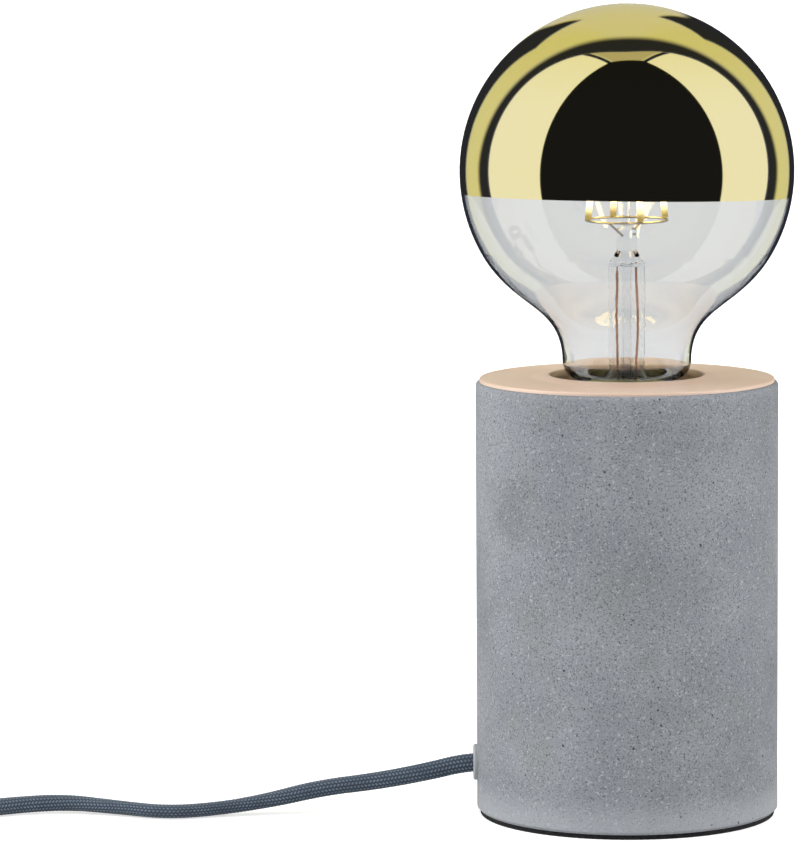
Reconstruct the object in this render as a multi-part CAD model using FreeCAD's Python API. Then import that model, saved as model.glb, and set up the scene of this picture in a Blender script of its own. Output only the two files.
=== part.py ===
# Bare bulb table lamp: a cast concrete cylinder with a copper-plated lid, a sunken E27 lampholder,
# a crown-mirrored globe bulb with four filaments, and a textile cord with an in-line switch and a plug.
# Millimetres. +Z is up, the lamp stands on z = 0 on its own axis, and the cord leaves towards -X.
import FreeCAD, Part
import math
import os

V = FreeCAD.Vector
UP = V(0, 0, 1)

# --- fits ---------------------------------------------------------------------------------------
GAP = 0.3               # between pieces that are put together by hand
THREAD_GAP = 0.05       # between a plain screw shank and its plain hole
PIVOT_GAP = 0.08        # running fit of the rocker's pins

# --- the concrete body and what closes it ---------------------------------------------------------
PAD_T = 1.4             # foam pad under the lamp
PAD_R = 42.26
BODY_R = 43.15
BODY_TOP_Z = 124.8
BODY_EDGE = 1.2         # rounded top edge
BODY_FOOT_EDGE = 0.8
POCKET_R = 25.0         # upper pocket, round the lampholder
CAVITY_R = 29.0         # lower cavity, for the wiring
CAVITY_TOP_Z = 27.0
PLATE_R = 36.5          # steel plate let into the underside
PLATE_T = 1.5
PLATE_SCREWS = 3
PLATE_SCREW_R = 1.5     # M3 countersunk
PLATE_SCREW_HEAD_R = 2.8
PLATE_SCREW_LENGTH = 8.0
BUSH_R = 2.3            # brass bushes cast into the concrete
BUSH_LENGTH = 8.0
SLOT_W = 0.8            # screwdriver slots

# --- the lid: spun sheet, its hole drawn up into a soft lip and turned down -------------------------
LID_R = 42.1
LID_T = 1.0
HOLE_R = 21.0
LIP_RISE = 0.9
LIP_WIDTH = 5.0
LIP_TURN_R = 1.6        # outside radius of the turned edge
COLLAR_DEPTH = 3.4      # how far the turned edge reaches below the lid's top

# --- the bulb --------------------------------------------------------------------------------------
GLOBE_R = 47.5
GLOBE_Z = 184.6
GLASS_T = 0.9
SHOULDER = 28.65        # degrees below the globe's middle where the outline leaves the sphere
SHOULDER_PULL = 19.3    # how far the outline keeps the sphere's direction
NECK_R = 18.3
NECK_Z = 129.75
NECK_PULL = 17.5        # how far the throat keeps the neck's direction
CAP_TOP_Z = 125.2       # where the glass meets the screw cap
CAP_R = 13.0
CAP_T = 0.4
CAP_LENGTH = 27.0
CAP_SHELL_LENGTH = 19.0
CAP_FLANGE = 2.0        # the cap's turned-in foot
CAP_TIP_R = 4.8
CAP_TIP_T = 1.8
GLASS_IN_CAP = 4.0
COAT_T = 0.15           # mirror coat on the inside of the crown
COAT_GAP = 0.1          # keeps the two curved faces apart
COAT_EDGE_BELOW = 6.8   # the coat's edge, below the globe's middle
COAT_EDGE_TILT = 2.0    # degrees: the dipped edge isn't quite level
COAT_EDGE_TOWARDS = 65.0  # degrees from +X, the side where it is lower
STEM_R = 5.15           # flare tube
STEM_WALL = 0.8
STEM_TOP_Z = 158.5
FLARE_TOP_Z = 129.5
PINCH_R = 2.85          # solid glass above the flare tube
PINCH_TOP_Z = 169.0
EXHAUST_R = 1.5
EXHAUST_WALL = 0.5
ROD_R = 1.1             # glass rod that carries the filaments' upper ends
ROD_TOP_Z = 206.0
HOOP_R = 11.6           # wire hoop under the filaments
HOOP_Z = 170.6
WIRE_R = 0.35
FILAMENTS = 4
FILAMENT_R = 0.9
FILAMENT_TOP_R = 8.0    # their upper ends lean in
FILAMENT_TURN = 17.0    # degrees from +X
LEAD_WIRE_OUT = 2.8     # the wires in the flare tube, from the bulb's axis
BOARD = (17.0, 1.2, 12.0)
BOARD_CHIP = (5.0, 2.0, 4.0)
CAPACITOR_R = 3.0
CAPACITOR_H = 8.0
CAPACITOR_SEAT = 0.3    # how deep the can sits in the board

# --- the lampholder ---------------------------------------------------------------------------------
HOLDER_R = 19.8
HOLDER_HEIGHT = 56.0
HOLDER_WALL = 2.0
HOLDER_MOUTH_BELOW = 2.7   # its mouth, below the top of the screw cap
MOUTH_LIP = 2.0
MOUTH_LIP_T = 1.5
DOME_HEIGHT = 11.0      # the part of the lower cap that stays outside the skirt
DOME_COLLAR = 8.0       # the part that the skirt screws over
DOME_FLOOR = 3.0
DOME_EDGE = 3.0
BOSS_R = 8.0
BOSS_HEIGHT = 7.0
FLUTES = 24             # grip flutes round the skirt
FLUTE_R = 1.0
FLUTE_DEPTH = 0.4
FLUTE_LENGTH = 18.0
CERAMIC_H = 11.5        # ceramic block that carries the contacts
CERAMIC_WALL_H = 6.0
CONTACT_SHELL_T = 0.4
CONTACT_SHELL_LENGTH = 20.0
WELL_DEPTH = 2.0        # recess for the sprung contact
CONTACT_T = 0.5
CONTACT_W = 6.0
CONTACT_LENGTH = 13.0
TERMINAL_X = 7.5
TERMINAL = (7.0, 6.4, 6.5)
TERMINAL_HOLE_DEPTH = 5.0
TERMINAL_SCREW_R = 1.3
TERMINAL_SCREW_Z = 2.8  # its height above the foot of the terminal
TERMINAL_SCREW_HEAD_R = 2.0
TERMINAL_SCREW_HEAD_T = 1.6

# --- the threaded tube --------------------------------------------------------------------------------
TUBE_R = 5.0            # M10 x 1
TUBE_BORE_R = 4.0
TUBE_IN_DOME = 6.0
TUBE_BELOW_NUT = 3.0
NUT_ACROSS_FLATS = 14.0
NUT_T = 3.0
WASHER_R = 9.5
WASHER_T = 1.0

# --- the cord and what holds it -----------------------------------------------------------------
CORD_R = 2.4            # mean radius of the oval 5.6 x 4.0 lead
CORD_Z = 14.7           # height of the hole in the concrete
CORD_JOIN = 3.0         # how deep in the wall the free cord's node starts
GROMMET_R = 4.2
GROMMET_FLANGE_R = 5.2
GROMMET_FLANGE_T = 1.1
GROMMET_INSIDE = 2.0    # how far it reaches into the cavity
CLAMP = (9.0, 17.0)
CLAMP_OFF_WALL = 2.5    # from the cavity's wall to the clamp, along the cord
CLAMP_CORNER_R = 1.2
CLAMP_BAR_T = 4.0
CLAMP_SCREW_R = 1.5
CLAMP_SCREW_HEAD_R = 2.7
CLAMP_SCREW_HEAD_T = 1.8
CLAMP_SCREW_Y = 5.6
SHEATH_END_X = -10.0
CORE_R = 1.15
CORE_SPREAD = 1.45      # half the distance between the two insulated wires

# --- the in-line rocker switch ------------------------------------------------------------------
SWITCH_X = -248.0
SWITCH_Y = -19.0
SWITCH = (60.0, 27.0, 17.5)
SWITCH_CORNER_R = 10.0
SWITCH_WALL = 1.8
SWITCH_SPLIT_Z = 8.2    # the halves part at the middle of the cord
SWITCH_EDGE = 2.2
CORD_IN_SWITCH = 4.5
ROCKER_R = 12.4         # its ends are arcs about the pivot
ROCKER_W = 12.0
ROCKER_EDGE = 0.5
ROCKER_TOP_ANGLE = 25.0
ROCKER_DIP_Z = 3.9      # middle of its hollow top, above the pivot
ROCKER_KEEL = (7.0, -2.6)  # the ends of its flat underside, from the pivot
ROCKER_PIVOT_Z = 13.0
ROCKER_PIN_R = 1.5
ROCKER_EAR = 2.0
ROCKER_TILT = 9.0       # degrees, to one side when on and to the other when off
SWITCH_SCREW = (21.0, 7.5)
SWITCH_SCREW_R = 1.4
SWITCH_SCREW_HEAD_R = 2.6
SWITCH_SCREW_HEAD_T = 1.6
SWITCH_SCREW_BITE = 5.0
SWITCH_POST_R = 3.2
BLADE_X = 11.0          # the two switch terminals
BLADE_TERMINAL = (6.0, 5.0)
BLADE_TOP_Z = 9.0
BLADE_T = 0.5
SWITCH_CORE_Y = 1.2     # the two wires lie beside each other in the cord's end
SWITCH_BYPASS_Y = 5.2   # the neutral wire passes the terminals here
SWITCH_BYPASS_RUN = 6.0 # the length over which it steps aside
SWITCH_WIRE_Z = 5.0

# --- the coil of lead and the plug --------------------------------------------------------------
COIL_X = -327.0
COIL_Y = 17.2
COIL_MIDDLE_R = 28.8    # radius at the middle of the turns
COIL_TURNS = 6.5        # half of them inward, then half outward on the upper layer
COIL_PITCH = 5.4        # from one turn to the next
COIL_RISE = 5.7         # from the lower layer to the upper one
PLUG_X = -252.0         # rear face of the plug's body
PLUG_Y = 43.0           # the end of its sleeve
PLUG_TURN = 5.0         # so that its pins point past the lamp
PLUG_BODY = (34.0, 35.3, 13.7)
PLUG_REAR = (16.0, 11.0)
PLUG_SHOULDER = 20.0    # where the body has its full width
PLUG_CORNER_R = 4.5
PLUG_EDGE = 1.0
PLUG_WAIST = 2.0        # how much the grip's sides are drawn in half way
PLUG_SLEEVE_LENGTH = 22.0
PLUG_SLEEVE_R = 4.6
PLUG_SLEEVE_TIP_R = 3.4
SLEEVE_GROOVES = 5
SLEEVE_GROOVE_STEP = 3.7
SLEEVE_GROOVE_W = 1.2
SLEEVE_GROOVE_DEPTH = 0.7
PIN_R = 2.0
PIN_ROOT_R = 1.5
PIN_LENGTH = 19.0
PIN_SPACING = 18.6
PIN_IN_BODY = 8.0
PIN_ROUND = 1.4

# --- places that follow from the sizes above ----------------------------------------------------
lid_top_z = BODY_TOP_Z + LID_T
plate_top_z = PAD_T + PLATE_T
bulb_tip_z = CAP_TOP_Z - CAP_LENGTH
cap_foot_z = CAP_TOP_Z - CAP_SHELL_LENGTH
insulator_z = bulb_tip_z + CAP_TIP_T
glass_foot_r = CAP_R - CAP_T - THREAD_GAP
board_top_z = cap_foot_z + BOARD[2]
mouth_z = CAP_TOP_Z - HOLDER_MOUTH_BELOW
holder_z = mouth_z - HOLDER_HEIGHT
web_top_z = holder_z - NUT_T - WASHER_T
skirt_z = holder_z + DOME_HEIGHT
skirt_bore_r = HOLDER_R - HOLDER_WALL
ceramic_z = skirt_z + DOME_COLLAR
ceramic_top_z = ceramic_z + CERAMIC_H
contact_shell_r = CAP_R + GAP
terminal_z = ceramic_z - TERMINAL[2]
tube_z = CAVITY_TOP_Z - WASHER_T - NUT_T - TUBE_BELOW_NUT
tube_top_z = holder_z + TUBE_IN_DOME
screw_circle_r = (CAVITY_R + PLATE_R) / 2
cord_join_x = -(BODY_R - CORD_JOIN)
clamp_x = -(CAVITY_R - CLAMP_OFF_WALL - CLAMP[0] / 2)
switch_near_x = SWITCH_X + SWITCH[0] / 2 - CORD_IN_SWITCH
switch_far_x = SWITCH_X - SWITCH[0] / 2 + CORD_IN_SWITCH
coil_out_r = COIL_MIDDLE_R + COIL_PITCH * COIL_TURNS / 4
coil_in_r = coil_out_r - COIL_PITCH * COIL_TURNS / 2
coil_start_x = COIL_X + 2 * CORD_R
plug_z = PLUG_BODY[2] / 2
plug_cord_x = PLUG_X - PLUG_SLEEVE_LENGTH
plug_face_x = PLUG_X + PLUG_BODY[0]

# Points of the free lead, chosen by eye: it droops from the lamp, lies on the table in an uneven
# line to the switch, and goes on from the switch to the coil and from the coil to the plug.
TO_SWITCH = [
    (cord_join_x, 0.0, CORD_Z), (-46.0, 0.0, CORD_Z), (-57.5, 0.0, 11.9), (-72.0, 0.6, 9.1),
    (-88.0, 0.2, 7.3), (-103.0, -0.8, 3.9), (-117.0, -3.4, 2.4), (-132.0, -8.4, 2.4),
    (-147.0, -1.5, 2.5), (-162.0, 3.2, 3.0), (-177.0, 0.2, 2.6), (-190.0, -8.0, 2.7),
    (-201.0, -15.5, 4.6), (-211.5, SWITCH_Y, SWITCH_SPLIT_Z), (switch_near_x, SWITCH_Y, SWITCH_SPLIT_Z),
]
TO_COIL = [
    (switch_far_x, SWITCH_Y, SWITCH_SPLIT_Z), (-284.5, SWITCH_Y, SWITCH_SPLIT_Z), (-297.0, -19.2, 5.0),
    (-310.0, COIL_Y - coil_out_r, CORD_R), (coil_start_x, COIL_Y - coil_out_r, CORD_R),
]
TO_PLUG = [
    (coil_start_x, COIL_Y + coil_out_r, CORD_R + COIL_RISE),
    (-311.0, COIL_Y + coil_out_r, CORD_R + COIL_RISE), (-298.5, 48.2, 7.6),
    (-286.0, 41.95, plug_z), (plug_cord_x, PLUG_Y, plug_z),
]


# --- shapes used by many pieces -----------------------------------------------------------------
def disc(radius, z0, z1, x=0.0, y=0.0):
    """An upright cylinder from height z0 to z1."""
    return Part.makeCylinder(radius, z1 - z0, V(x, y, z0))


def ring(outer, inner, z0, z1, x=0.0, y=0.0):
    return disc(outer, z0, z1, x, y).cut(disc(inner, z0 - 1, z1 + 1, x, y))


def block(size, centre, z0):
    """A box of size (x, y, z) that stands at height z0 over the point centre."""
    corner = V(centre[0] - size[0] / 2, centre[1] - size[1] / 2, z0)
    return Part.makeBox(size[0], size[1], size[2], corner)


def rod(a, b, radius):
    return Part.makeCylinder(radius, (b - a).Length, a, b - a)


def line(a, b):
    return Part.LineSegment(a, b).toShape()


def arc(a, middle, b):
    return Part.Arc(a, middle, b).toShape()


def bezier(*poles):
    curve = Part.BezierCurve()
    curve.setPoles(list(poles))
    return curve.toShape()


def turned(edges):
    """A solid of revolution about Z, from the edges of a closed outline in the plane y = 0."""
    return Part.Face(Part.Wire(edges)).revolve(V(0, 0, 0), UP, 360)


def lathe(outline):
    """A solid of revolution from straight lines through (radius, height) points."""
    points = [V(r, 0, z) for r, z in outline]
    return turned(Part.makePolygon(points + [points[0]]).Edges)


def on_circle(radius, degrees, z=0.0):
    angle = math.radians(degrees)
    return V(radius * math.cos(angle), radius * math.sin(angle), z)


def upright_edges(shape):
    return [e for e in shape.Edges if e.Curve.TypeId == "Part::GeomLine" and abs(e.tangentAt(0).z) > 0.9]


def rounded_slab(length, width, corner_r, z0, z1, x, y):
    """A slab whose plan is a rectangle with round corners."""
    slab = block((length, width, z1 - z0), (x, y), z0)
    return slab.makeFillet(corner_r, upright_edges(slab))


def slotted_screw(x, y, seat_z, end_z, shank_r, head_r, head_t):
    """A cheese-head screw that stands upright; its head is above seat_z when the shank goes down."""
    out = 1 if end_z < seat_z else -1
    head_low, head_high = sorted((seat_z, seat_z + out * head_t))
    shank_low, shank_high = sorted((seat_z, end_z))
    slot_z = seat_z + head_t / 2 if out > 0 else seat_z - head_t
    slot = block((2 * head_r + 1, SLOT_W, head_t / 2), (x, y), slot_z)
    head = disc(head_r, head_low, head_high, x, y)
    return head.fuse(disc(shank_r, shank_low, shank_high, x, y)).cut(slot).removeSplitter()


def sweep(path, radius):
    """A round bar along a tangent path."""
    first = path[0]
    circle = Part.Circle(first.Vertexes[0].Point, first.tangentAt(first.FirstParameter), radius)
    return Part.Wire(path).makePipeShell([Part.Wire(circle.toShape())], True, False)


def bent_bar(points, radius, name=""):
    """A round bar along straight runs joined by tangent arcs, each as large as its runs allow."""
    route = [V(*p) for p in points]
    edges, radii, here = [], [], route[0]
    for before, corner, after in zip(route, route[1:], route[2:]):
        into = (corner - before).normalize()
        out = (after - corner).normalize()
        half_turn = into.getAngle(out) / 2
        reach = 0.45 * min((corner - before).Length, (after - corner).Length)
        bend_r = reach / math.tan(half_turn)
        inward = (out - into).normalize()
        first, last = corner - into * reach, corner + out * reach
        middle = corner + inward * (bend_r / math.cos(half_turn) - bend_r)
        edges += [line(here, first), arc(first, middle, last)]
        radii.append(bend_r)
        here = last
    edges.append(line(here, route[-1]))
    bar = sweep(edges, radius)
    if name:
        print_tube(name, bar, edges, radius, min(radii))
    return bar


def print_tube(name, bar, edges, radius, tightest):
    """Prints a tube's length and tightest bend, and its volume against section times length."""
    length = sum(e.Length for e in edges)
    ratio = bar.Volume / (math.pi * radius ** 2 * length)
    print(f"{name}: {length:.1f} mm long, tightest bend {tightest:.1f} mm, volume ratio {ratio:.4f}")


def export(name, *solids):
    """Writes one piece, or one group of identical loose pieces."""
    shape = solids[0] if len(solids) == 1 else Part.makeCompound(list(solids))
    shape.exportStep(f"parts/{name}.step")


# --- the concrete body, its lid and its underside -----------------------------------------------
def concrete_body():
    """One casting: pocket above, cavity below, and a thick floor between them for the threaded tube."""
    tube_hole_r = TUBE_R + GAP
    recess_r = PLATE_R + GAP
    edge_mid = BODY_EDGE * (1 - math.sqrt(0.5))
    corners = [
        V(BODY_R - BODY_EDGE, 0, BODY_TOP_Z), V(POCKET_R, 0, BODY_TOP_Z), V(POCKET_R, 0, web_top_z),
        V(tube_hole_r, 0, web_top_z), V(tube_hole_r, 0, CAVITY_TOP_Z), V(CAVITY_R, 0, CAVITY_TOP_Z),
        V(CAVITY_R, 0, plate_top_z), V(recess_r, 0, plate_top_z), V(recess_r, 0, PAD_T),
        V(BODY_R - BODY_FOOT_EDGE, 0, PAD_T), V(BODY_R, 0, PAD_T + BODY_FOOT_EDGE),
        V(BODY_R, 0, BODY_TOP_Z - BODY_EDGE),
    ]
    edges = Part.makePolygon(corners).Edges
    edges.append(arc(corners[-1], V(BODY_R - edge_mid, 0, BODY_TOP_Z - edge_mid), corners[0]))
    body = turned(edges)
    cord_hole = rod(V(-BODY_R - 1, 0, CORD_Z), V(-CAVITY_R + 4, 0, CORD_Z), GROMMET_R + THREAD_GAP)
    body = body.cut(cord_hole)
    for x, y in plate_screw_places():
        body = body.cut(disc(BUSH_R, plate_top_z - 1, plate_top_z + BUSH_LENGTH, x, y))
    return body


def plate_screw_places():
    """Evenly round the plate's edge, the first one opposite the cord."""
    places = [on_circle(screw_circle_r, 360 * n / PLATE_SCREWS) for n in range(PLATE_SCREWS)]
    return [(p.x, p.y) for p in places]


def copper_lid():
    """Flat sheet with a soft rise round its hole, whose edge is turned down into the pocket."""
    crest_r = HOLE_R + LIP_TURN_R
    foot_r = crest_r + LIP_WIDTH
    crest_z = lid_top_z + LIP_RISE
    turn_z = crest_z - LIP_TURN_R
    collar_z = lid_top_z - COLLAR_DEPTH
    inner_r = HOLE_R + LID_T
    half = math.sqrt(0.5)
    turn_out = V(crest_r - LIP_TURN_R * half, 0, turn_z + LIP_TURN_R * half)
    turn_in = V(crest_r - (LIP_TURN_R - LID_T) * half, 0, turn_z + (LIP_TURN_R - LID_T) * half)
    under_crest = V(crest_r, 0, crest_z - LID_T)
    under_foot = V(foot_r, 0, BODY_TOP_Z)
    rim_r = LID_R - LID_T / 2
    rim_z = BODY_TOP_Z + LID_T / 2
    rim = V(rim_r + LID_T / 2 * half, 0, rim_z + LID_T / 2 * half)
    lid = turned([
        rise(foot_r, lid_top_z, crest_r, crest_z),
        arc(V(crest_r, 0, crest_z), turn_out, V(HOLE_R, 0, turn_z)),
        line(V(HOLE_R, 0, turn_z), V(HOLE_R, 0, collar_z)),
        line(V(HOLE_R, 0, collar_z), V(inner_r, 0, collar_z)),
        line(V(inner_r, 0, collar_z), V(inner_r, 0, turn_z)),
        arc(V(inner_r, 0, turn_z), turn_in, under_crest),
        rise(crest_r, crest_z - LID_T, foot_r, BODY_TOP_Z),
        line(under_foot, V(LID_R, 0, BODY_TOP_Z)),
        line(V(LID_R, 0, BODY_TOP_Z), V(LID_R, 0, rim_z)),
        arc(V(LID_R, 0, rim_z), rim, V(rim_r, 0, lid_top_z)),
        line(V(rim_r, 0, lid_top_z), V(foot_r, 0, lid_top_z)),
    ])
    return lid


def rise(r0, z0, r1, z1):
    """An S-curve between two heights, level at both ends."""
    third = (r1 - r0) / 3
    return bezier(V(r0, 0, z0), V(r0 + third, 0, z0), V(r1 - third, 0, z1), V(r1, 0, z1))


def foam_pad():
    return disc(PAD_R, 0, PAD_T)


def bottom_plate():
    plate = disc(PLATE_R, PAD_T, plate_top_z)
    for x, y in plate_screw_places():
        wide, narrow = PLATE_SCREW_HEAD_R + THREAD_GAP, PLATE_SCREW_R + THREAD_GAP
        plate = plate.cut(Part.makeCone(wide, narrow, PLATE_T, V(x, y, PAD_T)))
    for y in (-CLAMP_SCREW_Y, CLAMP_SCREW_Y):
        plate = plate.cut(disc(CLAMP_SCREW_R + THREAD_GAP, PAD_T - 1, plate_top_z + 1, clamp_x, y))
    return plate


def plate_screws():
    """Countersunk screws, flush with the plate."""
    screws = []
    for x, y in plate_screw_places():
        head = Part.makeCone(PLATE_SCREW_HEAD_R, PLATE_SCREW_R, PLATE_T, V(x, y, PAD_T))
        shank = disc(PLATE_SCREW_R, plate_top_z, PAD_T + PLATE_SCREW_LENGTH, x, y)
        slot = block((2 * PLATE_SCREW_HEAD_R + 1, SLOT_W, SLOT_W), (x, y), PAD_T)
        screws.append(head.fuse(shank).cut(slot).removeSplitter())
    return screws


def plate_bushes():
    bore_r = PLATE_SCREW_R + THREAD_GAP
    return [
        ring(BUSH_R, bore_r, plate_top_z, plate_top_z + BUSH_LENGTH, x, y) for x, y in plate_screw_places()
    ]


# --- the cord's way into the lamp ---------------------------------------------------------------
def cord_grommet():
    """A soft sleeve through the wall, its flange bedded on the round outside of the casting."""
    face_x = -BODY_R - GROMMET_FLANGE_T
    inner_x = -CAVITY_R + GROMMET_INSIDE
    flange = rod(V(face_x, 0, CORD_Z), V(-BODY_R + 1, 0, CORD_Z), GROMMET_FLANGE_R)
    front = [e for e in flange.Edges if e.Closed and abs(e.CenterOfMass.x - face_x) < 0.01]
    flange = flange.makeFillet(GROMMET_FLANGE_T * 0.6, front).cut(disc(BODY_R, 0, BODY_TOP_Z))
    sleeve = rod(V(-BODY_R - GROMMET_FLANGE_T / 2, 0, CORD_Z), V(inner_x, 0, CORD_Z), GROMMET_R)
    bore = rod(V(face_x - 1, 0, CORD_Z), V(inner_x + 1, 0, CORD_Z), CORD_R + GAP)
    return sleeve.fuse(flange).cut(bore).removeSplitter()


def clamp_half(low, high):
    """Half of the cord clamp, with the cord's groove and two screw holes."""
    half = block((CLAMP[0], CLAMP[1], high - low), (clamp_x, 0), low)
    half = half.makeFillet(CLAMP_CORNER_R, upright_edges(half))
    half = half.cut(rod(V(clamp_x - CLAMP[0], 0, CORD_Z), V(clamp_x + CLAMP[0], 0, CORD_Z), CORD_R))
    for y in (-CLAMP_SCREW_Y, CLAMP_SCREW_Y):
        half = half.cut(disc(CLAMP_SCREW_R + THREAD_GAP, low - 1, high + 1, clamp_x, y))
    return half


def clamp_base():
    return clamp_half(plate_top_z, CORD_Z - GAP)


def clamp_bar():
    return clamp_half(CORD_Z + GAP, CORD_Z + GAP + CLAMP_BAR_T)


def clamp_screws():
    """Through the bar and the base, down into the plate."""
    seat_z = CORD_Z + GAP + CLAMP_BAR_T
    return [
        slotted_screw(clamp_x, y, seat_z, PAD_T, CLAMP_SCREW_R, CLAMP_SCREW_HEAD_R, CLAMP_SCREW_HEAD_T)
        for y in (-CLAMP_SCREW_Y, CLAMP_SCREW_Y)
    ]


def inner_cord():
    return rod(V(cord_join_x, 0, CORD_Z), V(SHEATH_END_X, 0, CORD_Z), CORD_R)


def core_wire(side):
    """One insulated wire: from the stripped end of the cord, up the tube and into its terminal."""
    low_y = side * (CORE_R + THREAD_GAP)
    return bent_bar([
        (SHEATH_END_X, low_y, CORD_Z),
        (-4.5, low_y, CORD_Z),
        (0.0, side * CORE_SPREAD, tube_z - 1.5),
        (0.0, side * CORE_SPREAD, tube_top_z - 3.0),
        (side * 2.4, side * CORE_R, tube_top_z + 1.5),
        (side * TERMINAL_X, 0.0, terminal_z - 2.4),
        (side * TERMINAL_X, 0.0, terminal_z + TERMINAL_HOLE_DEPTH - GAP),
    ], CORE_R)


# --- the threaded tube and its nuts -------------------------------------------------------------
def threaded_tube():
    tube = ring(TUBE_R, TUBE_BORE_R, tube_z, tube_top_z)
    ends = [e for e in tube.Edges if e.Closed and e.Curve.Radius > TUBE_BORE_R + 0.1]
    return tube.makeChamfer(0.4, ends)


def hex_nut(z0):
    """A flat nut with its upper corners turned off."""
    corner_r = NUT_ACROSS_FLATS / math.sqrt(3)
    corners = [on_circle(corner_r, 60 * n, z0) for n in range(6)]
    prism = Part.Face(Part.makePolygon(corners + [corners[0]])).extrude(V(0, 0, NUT_T))
    facing = Part.makeCone(corner_r + NUT_T, corner_r - 0.6, NUT_T + 0.6, V(0, 0, z0 - 0.6))
    return prism.common(facing).cut(disc(TUBE_R + THREAD_GAP, z0 - 1, z0 + NUT_T + 1))


def tube_nuts():
    return [hex_nut(web_top_z + WASHER_T), hex_nut(CAVITY_TOP_Z - WASHER_T - NUT_T)]


def tube_washers():
    return [ring(WASHER_R, TUBE_R + GAP, z, z + WASHER_T) for z in (web_top_z, CAVITY_TOP_Z - WASHER_T)]


# --- the lampholder -----------------------------------------------------------------------------
def holder_dome():
    """Lower cap: a cup with a threaded boss in its floor and a narrower collar for the skirt."""
    collar_r = skirt_bore_r - THREAD_GAP
    inner_r = collar_r - HOLDER_WALL
    floor_z = holder_z + DOME_FLOOR
    boss_z = holder_z + BOSS_HEIGHT
    bore_r = TUBE_R + THREAD_GAP
    return lathe([
        (bore_r, holder_z), (HOLDER_R - DOME_EDGE, holder_z), (HOLDER_R, holder_z + DOME_EDGE),
        (HOLDER_R, skirt_z), (collar_r, skirt_z), (collar_r, ceramic_z), (inner_r, ceramic_z),
        (inner_r, floor_z + 1), (inner_r - 1, floor_z), (BOSS_R, floor_z), (BOSS_R - 0.6, boss_z),
        (bore_r, boss_z),
    ])


def holder_skirt():
    """Outer sleeve with a turned-in lip at the mouth and grip flutes round its lower half."""
    lip_r = skirt_bore_r - MOUTH_LIP
    lip_z = mouth_z - MOUTH_LIP_T
    skirt = lathe([
        (HOLDER_R, skirt_z), (HOLDER_R, mouth_z - 1), (HOLDER_R - 1, mouth_z), (lip_r, mouth_z),
        (lip_r, lip_z), (skirt_bore_r, lip_z - MOUTH_LIP), (skirt_bore_r, skirt_z),
    ])
    for n in range(FLUTES):
        place = on_circle(HOLDER_R + FLUTE_R - FLUTE_DEPTH, 360 * n / FLUTES)
        skirt = skirt.cut(disc(FLUTE_R, skirt_z - 1, skirt_z + FLUTE_LENGTH, place.x, place.y))
    return skirt


def holder_ceramic():
    """Block on the dome's collar, with a wall that centres the contact shell and a well in its top."""
    outer_r = skirt_bore_r - GAP
    wall_r = contact_shell_r + CONTACT_SHELL_T + THREAD_GAP
    ceramic = lathe([
        (0, ceramic_z), (outer_r, ceramic_z), (outer_r, ceramic_top_z), (outer_r - 1, ceramic_top_z + 1),
        (outer_r - 1, ceramic_top_z + CERAMIC_WALL_H), (wall_r, ceramic_top_z + CERAMIC_WALL_H),
        (wall_r, ceramic_top_z), (0, ceramic_top_z),
    ])
    well = block((CONTACT_LENGTH + 1, CONTACT_W + 1, WELL_DEPTH + 1), (0, 0), ceramic_top_z - WELL_DEPTH)
    return ceramic.cut(well)


def contact_shell():
    """The threaded contact, with a floor flange that rests on the ceramic block."""
    outer_r = contact_shell_r + CONTACT_SHELL_T
    flange_z = ceramic_top_z + CONTACT_SHELL_T
    top_z = ceramic_top_z + CONTACT_SHELL_LENGTH
    flange_in_r = CONTACT_LENGTH / 2 + 2
    return lathe([
        (flange_in_r, ceramic_top_z), (outer_r, ceramic_top_z), (outer_r, top_z),
        (contact_shell_r, top_z), (contact_shell_r, flange_z), (flange_in_r, flange_z),
    ])


def centre_contact():
    """A sprung strip in the block's well, folded up to meet the bulb's tip."""
    low = ceramic_top_z - WELL_DEPTH
    high = bulb_tip_z
    half = CONTACT_LENGTH / 2
    t = CONTACT_T
    section = [V(x, 0, z) for x, z in (
        (-half, low), (half, low), (half, low + 3 * t), (2.0, high), (-2.6, high), (-4.4, high - 1.1),
        (-4.0, high - 1.1 - t), (-2.3, high - t), (1.7, high - t), (half - t, low + 2 * t),
        (half - t, low + t), (-half, low + t),
    )]
    strip = Part.Face(Part.makePolygon(section + [section[0]])).extrude(V(0, CONTACT_W, 0))
    return strip.translated(V(0, -CONTACT_W / 2, 0))


def terminal_blocks():
    """Brass blocks under the ceramic, each with a hole for its wire and one for its screw."""
    blocks = []
    for side in (-1, 1):
        x = side * TERMINAL_X
        brass = block(TERMINAL, (x, 0), terminal_z)
        brass = brass.cut(disc(CORE_R + THREAD_GAP, terminal_z - 1, terminal_z + TERMINAL_HOLE_DEPTH, x, 0))
        middle = V(x, 0, terminal_z + TERMINAL_SCREW_Z)
        outward = V(side * TERMINAL[0], 0, 0)
        blocks.append(brass.cut(rod(middle, middle + outward, TERMINAL_SCREW_R + THREAD_GAP)))
    return blocks


def terminal_screws():
    screws = []
    for side in (-1, 1):
        z = terminal_z + TERMINAL_SCREW_Z
        seat_x = side * (TERMINAL_X + TERMINAL[0] / 2)
        tip_x = side * (TERMINAL_X + CORE_R + THREAD_GAP)
        shank = rod(V(tip_x, 0, z), V(seat_x, 0, z), TERMINAL_SCREW_R)
        head = rod(V(seat_x, 0, z), V(seat_x + side * TERMINAL_SCREW_HEAD_T, 0, z), TERMINAL_SCREW_HEAD_R)
        screws.append(shank.fuse(head).removeSplitter())
    return screws


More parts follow.
